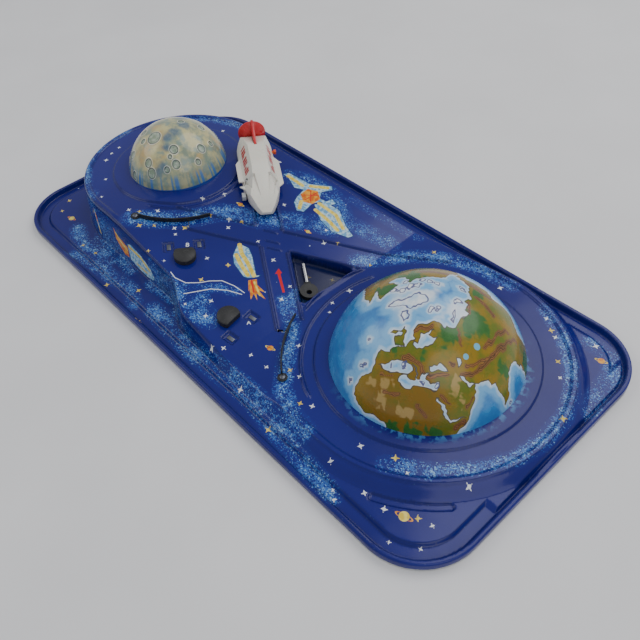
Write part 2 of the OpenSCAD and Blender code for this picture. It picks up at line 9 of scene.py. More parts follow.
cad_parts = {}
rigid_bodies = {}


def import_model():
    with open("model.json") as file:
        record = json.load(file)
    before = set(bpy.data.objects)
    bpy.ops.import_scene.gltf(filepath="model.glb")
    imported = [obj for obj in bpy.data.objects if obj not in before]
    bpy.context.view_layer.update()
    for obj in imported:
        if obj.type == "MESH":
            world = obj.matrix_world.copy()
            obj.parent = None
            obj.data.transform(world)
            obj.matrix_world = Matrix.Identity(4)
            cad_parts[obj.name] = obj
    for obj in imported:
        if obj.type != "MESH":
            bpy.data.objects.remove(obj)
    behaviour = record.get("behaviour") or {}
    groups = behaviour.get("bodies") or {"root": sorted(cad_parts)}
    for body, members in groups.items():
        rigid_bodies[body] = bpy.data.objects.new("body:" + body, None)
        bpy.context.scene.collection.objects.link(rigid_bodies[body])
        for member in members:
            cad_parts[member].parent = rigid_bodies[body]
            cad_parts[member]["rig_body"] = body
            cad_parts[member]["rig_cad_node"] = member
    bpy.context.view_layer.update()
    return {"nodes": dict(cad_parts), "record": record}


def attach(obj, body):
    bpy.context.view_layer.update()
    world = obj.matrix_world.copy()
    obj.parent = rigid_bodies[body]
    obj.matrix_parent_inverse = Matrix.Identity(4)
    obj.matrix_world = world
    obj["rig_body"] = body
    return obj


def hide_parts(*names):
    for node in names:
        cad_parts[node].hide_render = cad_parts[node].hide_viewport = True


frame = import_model()
MM = 0.001
rng = np.random.default_rng(7)

# ---------- the board's dimensions, in mm (the same as in the CAD) ----------
BOARD_L, BOARD_W, CORNER_R, RIM_H = 600.0, 290.0, 54.0, 9.0
MOON_Z, EARTH_Z, RAMP_A, RAMP_B = 49.0, 14.0, -140.0, 52.0
EARTH, MOON = np.array([165.0, 9.0]), np.array([-182.0, 3.0])
MOUND = np.array([-183.5, 1.0])  # centre of the raised ground that carries the Moon
EARTH_DECK_R, MOON_DECK_R = 124.0, 98.0
EARTH_R, EARTH_H, MOON_R, MOON_H = 83.0, 69.0, 52.0, 47.0
RAMP = math.atan((MOON_Z - EARTH_Z) / (RAMP_B - RAMP_A))
LANE_1, LANE_2, CROSSING = math.radians(-31.8), math.radians(33.8), np.array([-32.6, 5.5])
RIB_OFFSET, RIB_H = 12.0, 1.5
WELL = np.array([[-6.8, 7.2], [42, -24.2], [45.4, -22.6], [47.2, 37.2], [43.6, 39.2], [-3, 12.6],
                 [-7.6, 9.3]])
WELL_DEPTH = 9.0  # the triangular hollow that holds the key
KNOBS = {"a": (15.5, -86.0, math.radians(10)), "b": (-66.0, -73.0, math.radians(148))}
TAB = 14.5  # from a knob's centre to its bracket's tabs, along and across
PIVOTS = {"a": (97.0, -93.0, math.radians(133.8)), "b": (-138.3, -79.1, math.radians(44))}
LEG_R = 53.0  # from a blade's pivot to its leg
ROCKET_BACK = 80.0  # from the crossing back to the rocket
ROCKET_AT = CROSSING - ROCKET_BACK * np.array([math.cos(LANE_1), math.sin(LANE_1)])
ROCKET_TURN = math.atan(math.tan(LANE_1) * math.cos(RAMP))
SHEET = 0.8  # gauge of the pressed sheet as it is drawn
FLAT_Z, GROOVE_Z = 6.0, 3.5  # the flange's inner flat and its border groove
EARTH_RING, MOON_RING = (86.0, 8.4), (57.0, 11.2)  # raised rings round the planets: radius and half width
RING_RISE = 1.7


# ---------- shape functions on arrays of plan points ----------
def smooth(t, sharp=0.0):
    """0 to 1 as t goes from 0 to 1, with rounded ends; sharp near 1 makes a straight flank."""
    t = np.clip(t, 0, 1)
    soft = t * t * (3 - 2 * t)
    return soft * (1 - sharp) + sharp * t


def pulse(d, half, edge):
    """1 where |d| is under half, falling to 0 over edge."""
    return 1 - smooth((np.abs(d) - half) / edge)


def deck_z(x):
    """Height of the deck: level at the Moon, a ramp, and level again at the Earth."""
    return MOON_Z - (MOON_Z - EARTH_Z) * np.clip((x - RAMP_A) / (RAMP_B - RAMP_A), 0, 1)


def segment_distance(x, y, a, b):
    """Distance to the straight piece from a to b."""
    ax, ay = a
    dx, dy = b[0] - ax, b[1] - ay
    t = np.clip(((x - ax) * dx + (y - ay) * dy) / (dx * dx + dy * dy + 1e-12), 0, 1)
    return np.hypot(x - ax - t * dx, y - ay - t * dy)


def polygon_distance(x, y, points):
    """Signed distance to a closed outline, positive inside."""
    best = np.full(x.shape, 1e9)
    inside = np.zeros(x.shape, bool)
    for a, b in zip(points, np.roll(points, -1, axis=0)):
        best = np.minimum(best, segment_distance(x, y, a, b))
        crosses = (a[1] > y) != (b[1] > y)
        with np.errstate(divide="ignore", invalid="ignore"):
            at = a[0] + (y - a[1]) * (b[0] - a[0]) / (b[1] - a[1])
        inside ^= crosses & (x < at)
    return np.where(inside, best, -best)


def line_distance(x, y, points):
    """Distance to an open line through the points."""
    best = np.full(x.shape, 1e9)
    for a, b in zip(points[:-1], points[1:]):
        best = np.minimum(best, segment_distance(x, y, a, b))
    return best


def arc_points(centre, r, start, end, n):
    """Points along an arc; angles in degrees."""
    a = np.radians(np.linspace(start, end, n))
    return np.stack([centre[0] + r * np.cos(a), centre[1] + r * np.sin(a)], 1)


def board_distance(x, y):
    """Distance inwards from the board's outline."""
    qx = np.abs(x) - (BOARD_L / 2 - CORNER_R)
    qy = np.abs(y) - (BOARD_W / 2 - CORNER_R)
    out = np.hypot(np.maximum(qx, 0), np.maximum(qy, 0)) + np.minimum(np.maximum(qx, qy), 0)
    return CORNER_R - out


def deck_outline():
    """The crest of the raised deck, counter-clockwise from the near S-bend."""
    bend = [(x, -97 - 9 * (1 - math.cos(math.pi * (x + 60) / 50))) for x in np.linspace(-60, -10, 11)]
    near_moon = arc_points(MOUND, MOON_DECK_R, 94, 270, 60)
    far_earth = arc_points(EARTH, EARTH_DECK_R, -90, 90, 60)
    far = [(75, 125.5), (-150, 93)]
    return np.array([*near_moon, *bend, *far_earth, *far], float)


def turned(x, y, centre, turn):
    """The same points in a frame that stands at centre, its first axis at the angle turn."""
    dx, dy = x - centre[0], y - centre[1]
    return dx * math.cos(turn) + dy * math.sin(turn), -dx * math.sin(turn) + dy * math.cos(turn)


# start, end and side of the straight ribs of each lane, along the lane from the crossing
RIBS = [(LANE_1, -62, -21, -1), (LANE_1, 10, 107, -1), (LANE_1, -42, -10, 1), (LANE_1, 21, 99, 1),
        (LANE_2, -100, -21, 1), (LANE_2, 10, 172, 1), (LANE_2, -81, -10, -1), (LANE_2, 21, 91, -1)]


def rib_bumps(x, y):
    """How far up its ribs each point of the deck lies, 0 to 1."""
    total = np.zeros(x.shape)
    for turn, start, end, side in RIBS:
        u, v = turned(x, y, CROSSING, turn)
        over = np.hypot(np.maximum(np.maximum(start - u, u - end), 0), v - side * RIB_OFFSET)
        total = np.maximum(total, pulse(over, 0.45, 1.3))
    # the rib that carries the first lane round the Earth, and the channel beside it
    angle = np.degrees(np.arctan2(y - EARTH[1], x - EARTH[0])) % 360
    r = np.hypot(x - EARTH[0], y - EARTH[1])
    west = smooth((angle - 160) / 3) * smooth((199 - angle) / 3)
    total = np.maximum(total, pulse(r - 119.4, 0.45, 1.3) * west)
    inner = smooth((angle - 158) / 3) * smooth((252 - angle) / 6)
    total = np.maximum(total, 0.75 * pulse(r - 106.5, 0.3, 1.6) * inner)
    return total


def moon_lane(x, y):
    """The low ribs that turn the lanes round the Moon."""
    r = np.hypot(x - MOON[0], y - MOON[1])
    angle = np.degrees(np.arctan2(y - MOON[1], x - MOON[0]))
    part = smooth((angle + 62) / 6) * smooth((62 - angle) / 6)
    return 0.7 * pulse(r - 74.5, 0.3, 1.7) * part


def coarse(function, x, y, step=4):
    """A slowly changing function, worked out on every step-th grid point and filled in between."""
    gx, gy = x[::step, ::step], y[::step, ::step]
    f = function(gx, gy)
    n, m = x.shape
    fx = np.arange(m) / step
    fy = np.arange(n) / step
    i, j = np.minimum(fy.astype(int), f.shape[0] - 2), np.minimum(fx.astype(int), f.shape[1] - 2)
    ty, tx = (fy - i)[:, None], (fx - j)[None, :]
    a, b = f[np.ix_(i, j)], f[np.ix_(i, j + 1)]
    c, d = f[np.ix_(i + 1, j)], f[np.ix_(i + 1, j + 1)]
    return (a * (1 - tx) + b * tx) * (1 - ty) + (c * (1 - tx) + d * tx) * ty


def box_distance(u, v, cu, cv, half_u, half_v, r=0.0):
    """Signed distance to a rectangle with corners of radius r, positive inside."""
    qu, qv = np.abs(u - cu) - half_u + r, np.abs(v - cv) - half_v + r
    return r - (np.hypot(np.maximum(qu, 0), np.maximum(qv, 0)) + np.minimum(np.maximum(qu, qv), 0))


def board_height(x, y):
    """Height of the pressed sheet's upper face, and how far inside the board's outline each point is."""
    def inside(outline, step):
        """Slow distances are worked out on a coarser grid where the points are a grid."""
        if x.ndim == 1:
            return polygon_distance(x, y, outline)
        return coarse(lambda a, b: polygon_distance(a, b, outline), x, y, step)

    edge = board_distance(x, y)
    deck = inside(deck_outline(), 4)
    # rolled rim, border groove and inner flat of the flange
    rim = GROOVE_Z + (RIM_H - GROOVE_Z) * smooth((6.3 - edge) / 2.6) - 3.2 * smooth((0.9 - edge) / 1.2)
    groove_end = smooth((x - 278) / 4) * smooth((y + 62) / 5)
    flat = np.maximum(smooth((edge - 15) / 3.2), groove_end * smooth((edge - 6.0) / 2.5))
    base = rim + (FLAT_Z - rim) * flat
    # the long shallow recess beside the Earth
    r = np.hypot(x - EARTH[0], y - EARTH[1])
    away = np.degrees(np.arctan2(y - EARTH[1], x - EARTH[0])) + 53
    across = np.hypot(r - 137, np.maximum(np.abs(away) - 12, 0) * 2.4)
    base = base - 1.3 * smooth((3.4 - across) / 1.1)
    # deck, its flank and the raised border along its crest
    foot = 5.0 + 5.0 * smooth((x + 20) / 140)
    border = pulse(deck - 3.4, 1.4, 2.4) * np.maximum(smooth((-145 - x) / 14), smooth((x - 98) / 20))
    flank = smooth((deck + foot) / (foot + 0.6), 0.55)
    z = base + (deck_z(x) + 1.4 * border - base) * flank
    # rings round the planets, lane ribs
    rm = np.hypot(x - MOON[0], y - MOON[1])
    on_deck = smooth(deck / 1.5)
    for from_centre, (ring_r, half) in ((r, EARTH_RING), (rm, MOON_RING)):
        z = z + on_deck * RING_RISE * pulse(from_centre - ring_r, half, 1.9)
    z = z + on_deck * 1.15 * RIB_H * rib_bumps(x, y) + on_deck * 1.3 * moon_lane(x, y)
    # three slanted marks across the rocket's lane, round the crossing
    u, v = turned(x, y, CROSSING, LANE_1)
    for at in (-9.0, 4.5, 13.5):
        skew = u - at - v * 0.45
        z = z + 0.8 * pulse(skew, 0.3, 1.3) * pulse(v, 5.8, 1.2)
    # the well for the key
    well = inside(WELL, 2)
    z = z + 0.5 * pulse(well + 1.6, 0.5, 1.4) - WELL_DEPTH * smooth((well + 0.3) / 1.7, 0.5)
    # square recesses round the bracket tabs
    for *centre, turn in KNOBS.values():
        ku, kv = turned(x, y, centre, turn)
        for s in (-1, 1):
            d = box_distance(ku, kv, TAB, s * TAB, 6.4, 5.4, 1.0)
            z = z - 1.6 * smooth(d / 1.3)
    return z, edge


# ---------- adaptive triangle mesh of a height field (right triangles, no cracks) ----------
GRID_STEP, GRID_N = 0.6, 1024


def adaptive_mesh(z, force, tolerance):
    """Triangles (rows of three grid indices) that follow z within tolerance, finer where force is set."""
    n, size = GRID_N, GRID_N + 1
    corner = np.array([[0, 0, n, n, n, 0], [n, n, 0, 0, 0, n]], np.int32)
    levels = [corner]
    while True:
        ax, ay, bx, by, cx, cy = levels[-1].T
        if abs(int(ax[0]) - int(cx[0])) + abs(int(ay[0]) - int(cy[0])) <= 1:
            break
        mx, my = (ax + bx) // 2, (ay + by) // 2
        left = np.stack([cx, cy, ax, ay, mx, my], 1)
        right = np.stack([bx, by, cx, cy, mx, my], 1)
        levels.append(np.stack([left, right], 1).reshape(-1, 6))
    error = force.astype(np.float32).ravel().copy()
    flat = z.ravel()
    for depth in range(len(levels) - 2, -1, -1):
        ax, ay, bx, by, cx, cy = levels[depth].T
        mid = (ay + by) // 2 * size + (ax + bx) // 2
        gap = np.abs((flat[ay * size + ax] + flat[by * size + bx]) / 2 - flat[mid])
        if depth < len(levels) - 2:
            below = error[(ay + cy) // 2 * size + (ax + cx) // 2]
            gap = np.maximum(gap, below)
            gap = np.maximum(gap, error[(by + cy) // 2 * size + (bx + cx) // 2])
        np.maximum.at(error, mid, gap.astype(np.float32))
    keep, out = np.arange(2), []
    for depth, level in enumerate(levels):
        tri = level[keep]
        ax, ay, bx, by, cx, cy = tri.T
        if depth == len(levels) - 1:
            out.append(tri)
            break
        split = error[(ay + by) // 2 * size + (ax + bx) // 2] > tolerance
        out.append(tri[~split])
        keep = (keep[split, None] * 2 + np.array([0, 1])).ravel()
    tri = np.concatenate(out)
    return tri[:, 1::2] * size + tri[:, 0::2]


# ---------- objects and materials ----------
def add_object(name, data):
    """A new object in the scene."""
    obj = bpy.data.objects.new(name, data)
    bpy.context.scene.collection.objects.link(obj)
    return obj


def link(name, vertices, faces, smooth_shade=True):
    """A new mesh object in the scene."""
    mesh = bpy.data.meshes.new(name)
    mesh.from_pydata([tuple(v) for v in vertices], [], [tuple(f) for f in faces])
    mesh.update()
    mesh.polygons.foreach_set("use_smooth", [smooth_shade] * len(mesh.polygons))
    return add_object(name, mesh)


def link_triangles(name, vertices, triangles):
    """A smooth triangle mesh from arrays, quicker than from lists."""
    mesh = bpy.data.meshes.new(name)
    mesh.vertices.add(len(vertices))
    mesh.vertices.foreach_set("co", np.asarray(vertices, np.float32).ravel())
    mesh.loops.add(triangles.size)
    mesh.loops.foreach_set("vertex_index", triangles.astype(np.int32).ravel())
    mesh.polygons.add(len(triangles))
    mesh.polygons.foreach_set("loop_start", np.arange(0, triangles.size, 3, dtype=np.int32))
    mesh.update(calc_edges=True)
    mesh.validate()
    mesh.polygons.foreach_set("use_smooth", [True] * len(mesh.polygons))
    return add_object(name, mesh)


def attribute(obj, name, values):
    """One number for each point of the mesh, for the materials to read."""
    a = obj.data.attributes.new(name, "FLOAT", "POINT")
    a.data.foreach_set("value", np.asarray(values, np.float32))


class Nodes:
    """A short way to write a node material."""

    def __init__(self, name):
        self.material = bpy.data.materials.new(name)
        self.material.use_nodes = True
        self.tree = self.material.node_tree
        self.shader = self.tree.nodes["Principled BSDF"]

    def add(self, kind, inputs=None, out=0, **settings):
        node = self.tree.nodes.new("ShaderNode" + kind)
        for key, value in settings.items():
            setattr(node, key, value)
        for key, value in (inputs or {}).items():
            self.put(node.inputs[key], value)
        return node.outputs[out]

    def put(self, socket, value):
        if isinstance(value, bpy.types.NodeSocket):
            self.tree.links.new(value, socket)
        elif isinstance(value, tuple) and len(value) == 3 and socket.type == "RGBA":
            socket.default_value = (*value, 1)
        else:
            socket.default_value = value

    def set(self, **values):
        for key, value in values.items():
            self.put(self.shader.inputs[key.replace("_", " ")], value)
        return self.material

    def position(self):
        return self.add("TexCoord", out=3)

    def noise(self, scale, detail=3.0, rough=0.5, vector=None, out=0, distortion=0.0):
        return self.add("TexNoise", {"Vector": vector or self.position(), "Scale": scale, "Detail": detail,
                                     "Roughness": rough, "Distortion": distortion}, out)

    def math(self, operation, a, b=0.5):
        return self.add("Math", {0: a, 1: b}, operation=operation)

    def plus(self, a, b):
        return self.math("ADD", a, b)

    def times(self, a, b):
        return self.math("MULTIPLY", a, b)

    def ramp(self, value, low, high, to_low=0.0, to_high=1.0):
        return self.add("MapRange", {0: value, 1: low, 2: high, 3: to_low, 4: to_high},
                        interpolation_type="SMOOTHSTEP")

    def mix(self, factor, a, b):
        node = self.tree.nodes.new("ShaderNodeMix")
        node.data_type = "RGBA"
        self.put(node.inputs[0], factor)
        self.put(node.inputs[6], a)
        self.put(node.inputs[7], b)
        return node.outputs[2]

    def value(self, name):
        return self.add("Attribute", out=2, attribute_name=name)

    def bump(self, height, strength, distance):
        return self.add("Bump", {"Height": height, "Strength": strength, "Distance": distance})


def litho_blue():
    """Glossy printed blue on tin, with stippled star clouds, fine stars, wear, and painted shade on the bends
    and in the key's well.
    """
    n = Nodes("litho_blue")
    fine = n.noise(900, 2)
    base = n.mix(n.ramp(n.noise(9, 2), 0.35, 0.7), (0.0062, 0.0085, 0.150), (0.0090, 0.013, 0.185))
    base = n.mix(n.ramp(fine, 0.55, 0.8, 0, 0.25), base, (0.015, 0.026, 0.25))
    # star clouds: short strokes and dots in three blues, where the cloud density allows
    cloud = n.value("cloud")
    density = n.times(cloud, n.ramp(n.noise(60, 3, 0.6), 0.3, 0.62, 0.35, 1.2))
    dots = n.noise(620, 2.5, 0.65)
    aside = n.add("VectorMath", {0: n.position(), 1: (3.1, 1.7, 0.4)}, operation="ADD")
    mid = n.ramp(n.plus(dots, n.times(density, 0.20)), 0.67, 0.715)
    light = n.ramp(n.plus(n.noise(740, 2, 0.6, vector=aside), n.times(density, 0.13)), 0.715, 0.745)
    gate = n.ramp(cloud, 0.05, 0.3)
    color = n.mix(n.times(gate, 0.35), base, (0.011, 0.028, 0.24))
    color = n.mix(n.times(mid, gate), color, (0.035, 0.14, 0.46))
    color = n.mix(n.times(light, gate), color, (0.24, 0.46, 0.72))
    # tiny single stars everywhere
    cells = n.tree.nodes.new("ShaderNodeTexVoronoi")
    n.put(cells.inputs["Vector"], n.position())
    n.put(cells.inputs["Scale"], 62.0)
    speck = n.ramp(cells.outputs["Distance"], 0.030, 0.045, 1, 0)
    chosen = n.ramp(n.add("SeparateColor", {0: cells.outputs["Color"]}), 0.70, 0.72)
    color = n.mix(n.times(speck, chosen), color, (0.62, 0.74, 0.86))
    # colour of the Earth map running out over the ring, painted shade darkening the bends with chips of wear
    # on them, painted deep shade in the well
    spill = n.times(n.value("spill"), n.ramp(n.noise(150, 3, 0.6), 0.46, 0.56))
    color = n.mix(n.times(spill, 0.7), color, (0.07, 0.27, 0.55))
    # printed marks: pale ships with a dark outline, then the warm inks and white
    ink = {name: n.value("ink_" + name) for name in INKS}
    color = n.mix(n.ramp(ink["pale"], -0.15, 0.1), color, (0.012, 0.045, 0.16))
    hatch = n.ramp(n.noise(330, 2, 0.5), 0.42, 0.58)
    pale = n.mix(hatch, (0.12, 0.33, 0.56), (0.46, 0.66, 0.76))
    color = n.mix(n.ramp(ink["pale"], 0.55, 0.8), color, pale)
    orange = n.mix(n.ramp(n.noise(260, 2), 0.4, 0.6), (0.60, 0.13, 0.008), (0.80, 0.36, 0.03))
    yellow = n.mix(n.ramp(n.noise(300, 2), 0.4, 0.6), (0.70, 0.50, 0.05), (0.84, 0.68, 0.16))
    for name, tone in (("orange", orange), ("yellow", yellow), ("red", (0.62, 0.012, 0.014)),
                       ("white", (0.80, 0.83, 0.84))):
        color = n.mix(n.ramp(ink[name], -0.12, 0.12), color, tone)
    bend_wear_and_shade = n.value("bend")
    # painted shade: the sheet is darkened where it bends
    color = n.mix(n.times(bend_wear_and_shade, 0.45), color, (0.003, 0.005, 0.065))
    chips = n.ramp(n.noise(310, 4, 0.7), 0.62, 0.74)
    color = n.mix(n.times(n.times(bend_wear_and_shade, chips), 0.5), color, (0.10, 0.20, 0.42))
    # painted shade: the floor of the key's well is darkened nearly to black
    color = n.mix(n.value("dark"), color, (0.003, 0.007, 0.035))
    rough = n.ramp(n.noise(38, 4, 0.6), 0.3, 0.75, 0.13, 0.23)
    height = n.plus(n.noise(60, 2), n.times(n.noise(1500, 1), 0.05))
    n.set(Base_Color=color, Roughness=rough, Normal=n.bump(height, 0.10, 0.0004), Coat_Weight=0.08,
          Coat_Roughness=0.06, Specular_IOR_Level=0.30)
    return n.material


# centre line of each printed star cloud, its half width in mm and its strength
CLOUDS = [
    ([(-139, -83), (-120, -63), (-103, -39), (-91, -11), (-77, 2), (-58, 13), (-46, 28), (-25, 49),
    (-6, 61)], 10, 1.0), ([(-214, -92), (-226, -84), (-250, -70), (-267, -52), (-277, -28), (-279, 0)], 5,
    1.0), ([(-268, 30), (-250, 60), (-228, 79), (-196, 92), (-170, 96)], 5, 0.9), ([(-44, -98), (-37, -94),
    (-26, -84), (-17, -70), (-4, -62)], 5, 0.8), ([(-41, -104), (-26, -108), (-8, -106), (6, -100),
    (-18, -93)], 8, 1.0), ([(-87, 76), (-70, 88), (-42, 92), (-28, 90), (-8, 80)], 9, 0.8), ([(-20, 66),
    (0, 78), (20, 84), (45, 92)], 9, 0.9), ([(32, -36), (48, -42), (60, -50), (72, -64), (90, -84),
    (106, -101), (128, -111), (150, -114)], 7, 1.0), ([(36, -14), (33, -24), (42, -40)], 6, 0.9),
    ([(40, 50), (57, 72), (72, 92), (90, 108), (112, 119), (138, 125), (166, 127)], 8, 1.0), ([(60, 118),
    (20, 110), (-20, 104)], 5, 0.5), ([(205, 121), (231, 107), (252, 88), (272, 62), (282, 38), (284, 8),
    (279, -20), (264, -48), (244, -70), (215, -92)], 6, 1.0), ([(215, -92), (226, -84), (244, -72)], 7,
    1.0), ([(-222, -112), (-200, -121), (-170, -116), (-150, -112)], 8, 1.0), ([(-190, -135), (-160, -128),
    (-130, -126), (-100, -122), (-80, -130)], 7, 0.9), ([(-60, -122), (-29, -124), (12, -127), (36, -124)],
    8, 1.0), ([(36, -124), (90, -121), (130, -127), (165, -132), (200, -136)], 8, 1.0), ([(250, 122),
    (272, 122), (284, 104), (286, 84), (292, 60)], 8, 0.9), ([(-205, -90), (-190, -103), (-160, -104),
    (-120, -108)], 6, 0.8), ([(-90, -104), (-60, -102), (-44, -100)], 6, 0.9)]


def cloud_density(x, y):
    """How dense the printed star clouds are, 0 to 1."""
    total = np.zeros(x.shape)
    for points, half, strength in CLOUDS:
        near = np.zeros(x.shape)
        box = (x > min(p[0] for p in points) - 3 * half) & (x < max(p[0] for p in points) + 3 * half)
        box &= (y > min(p[1] for p in points) - 3 * half) & (y < max(p[1] for p in points) + 3 * half)
        near[box] = strength * smooth(1.35 - line_distance(x[box], y[box], points) / half * 0.85)
        total = np.maximum(total, near)
    return total


# ---------- printed marks on the deck and the flange, plan places in mm ----------
WHITE_STARS = [
    (-152, -78), (-131, -58), (-216, -67), (-192, -86), (-247, -48), (-254, -37), (-258, -25), (-116, -14),
    (-108, 7), (-102, -59), (-95, -63), (-70, -18), (-75, -91), (-52, -58), (0, -100), (-10, -86),
    (-22, -106), (29, -36), (23, -20), (-11, -11), (-38, -7), (-59, 45), (4, 41), (-109, 83), (-197, 74),
    (-7, 54), (70, -14), (63, -4), (-77, -11), (63, 18), (29, -116), (37, -109), (58, -96), (78, -95),
    (76, -123), (136, -95), (190, -94), (231, -86), (269, -62), (230, 100), (258, 66), (212, 113),
    (160, 116), (80, -60), (106, -82), (198, -131), (204, -136), (269, -101), (255, -131), (274, -119),
    (257, 122), (182, -118), (236, -116), (217, -117)]
YELLOW_STARS = [
    (-142, -72), (-126, -83), (-117, -72), (-93, -22), (-96, -51), (-67, -3), (-94, -95), (-33, -48),
    (-35, -78), (13, 51), (36, 21), (19, 5), (127, -100), (216, -83), (283, 33), (247, 79), (223, 104),
    (95, -83), (84, 112), (52, 56), (-274, -94), (-263, -109), (-124, -135), (-91, -118), (-57, -140),
    (-172, -119), (-193, -122), (122, -131), (258, -104)]
PLANETS = [
    (-17, 39, 2.0, "yellow"), (-87, 11, 2.4, "orange"), (64, -79, 2.8, "orange"),
    (-243, -108, 3.2, "yellow"), (250, -110, 4.0, "yellow"), (269, 111, 3.0, "orange")]
SHIP = [
    (-49, -23), (-40, -37), (-31, -43), (-13, -46), (-9, -44), (-4, -36), (-4, -31), (-7, -35), (-27, -23),
    (-37, -19)]
SHIP_STRIPES = [
    [(-46, -23.5), (-36, -29), (-22, -32.5), (-8, -37.5)], [(-38, -34), (-28, -37.5), (-12, -41.5)]]
FLAMES = [
    (-7, -45), (4, -54), (1, -50), (12, -58), (8, -51), (17, -54), (9, -49), (21, -47), (8, -45), (14, -42),
    (2, -42), (-3, -38)]
SHUTTLE = [
    (-94, 73), (-91, 80), (-65, 86), (-48, 102), (-43, 98), (-48, 87), (-43, 80), (-36, 82), (-35, 89),
    (-26, 88), (-30, 79), (-39, 76), (-42, 68), (-39, 54), (-45, 49), (-56, 55), (-60, 63), (-63, 74),
    (-71, 69), (-86, 74)]
SHUTTLE_TAIL = [(-41, 69), (-35, 81), (-18, 84), (1, 74), (16, 70), (14, 64), (-2, 57), (-21, 59)]
HUB = [(-60, 68), (-61, 79), (-52, 85), (-42, 79), (-42, 68), (-50, 63)]
SHUTTLE_LINES = [
    [(-88, 76), (-68, 78)], [(-62, 84), (-49, 96)], [(-46, 54), (-52, 62)], [(-38, 74), (-16, 76), (2, 69)],
    [(-34, 65), (-14, 65), (0, 63)]]
HUB_LINES = [[(-57, 70), (-47, 81)], [(-46, 69), (-57, 80)], [(-51, 66), (-51, 83)]]
ARROW = [(0, -14), (3, -21), (4, -19), (24, -30), (25, -28), (6, -17), (6, -15)]
COMETS = [
    [(-60, -94), (-52, -95), (-41, -91), (-33, -81), (-29, -73), (-22, -64), (-10, -59), (2, -57)],
    [(-32, -100), (-27, -90), (-21, -78), (-10, -67), (2, -60)]]
# strokes of the two knob labels, in a frame 4 mm high
LABELS = {"a": ((30, -75), [[(-1.5, -2), (0, 2), (1.5, -2)], [(-1, -0.6), (1, -0.6)]]),
          "b": ((-77, -62), [[(-1.2, -2), (-1.2, 2), (0.6, 2), (1.2, 1.2), (0.5, 0.2), (-1.2, 0.2)],
                             [(0.5, 0.2), (1.4, -0.8), (0.7, -2), (-1.2, -2)]])}
LABEL_UP = math.radians(141)
INKS = ("white", "yellow", "orange", "red", "pale")
FAR = 3.0  # marks are measured no further than this from their edge, in mm


def star(u, v, r, turn):
    """Distance into a star with four long and four short points."""
    angle = 2 * (np.arctan2(v, u) - turn)
    reach = 0.24 + 0.76 * np.abs(np.cos(angle)) ** 7 + 0.26 * np.abs(np.sin(angle)) ** 7
    return r * reach - np.hypot(u, v)


def printed_marks(x, y):
    """How far (mm) each point of the sheet's grid is inside the marks of each ink."""
    inks = {name: np.full(x.shape, -FAR) for name in INKS}

    def stamp(ink, points, shape, reach=3.5):
        low, high = np.min(points, 0) - reach, np.max(points, 0) + reach
        first = np.clip((low / GRID_STEP + GRID_N / 2).astype(int), 0, GRID_N)
        last = np.clip((high / GRID_STEP + GRID_N / 2).astype(int) + 2, 0, GRID_N)
        part = (slice(first[1], last[1]), slice(first[0], last[0]))
        inks[ink][part] = np.maximum(inks[ink][part], np.clip(shape(x[part], y[part]), -FAR, FAR))

    def fill(ink, outline):
        stamp(ink, outline, lambda a, b: polygon_distance(a, b, np.array(outline, float)))

    def draw(ink, line, half):
        stamp(ink, line, lambda a, b: half - line_distance(a, b, line))

    for ink, places, size in (("white", WHITE_STARS, 2.6), ("yellow", YELLOW_STARS, 2.9)):
        for cx, cy in places:
            r, turn = size * rng.uniform(0.8, 1.25), rng.uniform(0, math.pi / 2)
            stamp(ink, [(cx, cy)], lambda a, b: star(a - cx, b - cy, r, turn), 5)
    for cx, cy, r, ink in PLANETS:
        stamp(ink, [(cx, cy)], lambda a, b: r - np.hypot(a - cx, b - cy), 6)

        def band(a, b):
            """A tilted ring round the planet."""
            wide, tall = (a - cx) * 0.6 + (b - cy) * 0.1, (b - cy) * 1.9 - (a - cx) * 0.5
            return 0.45 - np.abs(np.hypot(wide, tall) - r)

        stamp("orange" if ink == "yellow" else "yellow", [(cx, cy)], band, 7)
    fill("pale", SHIP)
    fill("orange", FLAMES)
    for line in SHIP_STRIPES:
        draw("yellow", line, 2.1)
    for outline in (SHUTTLE, SHUTTLE_TAIL):
        fill("pale", outline)
    fill("orange", HUB)
    for line in SHUTTLE_LINES:
        draw("yellow", line, 2.0)
    for line in HUB_LINES:
        draw("red", line, 0.5)
    draw("red", [(-5, -43), (7, -50)], 0.7)
    draw("yellow", [(-2, -42), (13, -48)], 0.9)
    fill("red", ARROW)
    for line in COMETS:
        draw("white", line, 0.42)
    across, up = math.sin(LABEL_UP), math.cos(LABEL_UP)
    for (cx, cy), strokes in LABELS.values():
        for stroke in strokes:
            draw("white", [(cx + u * across + v * up, cy - u * up + v * across) for u, v in stroke], 0.4)
    return inks


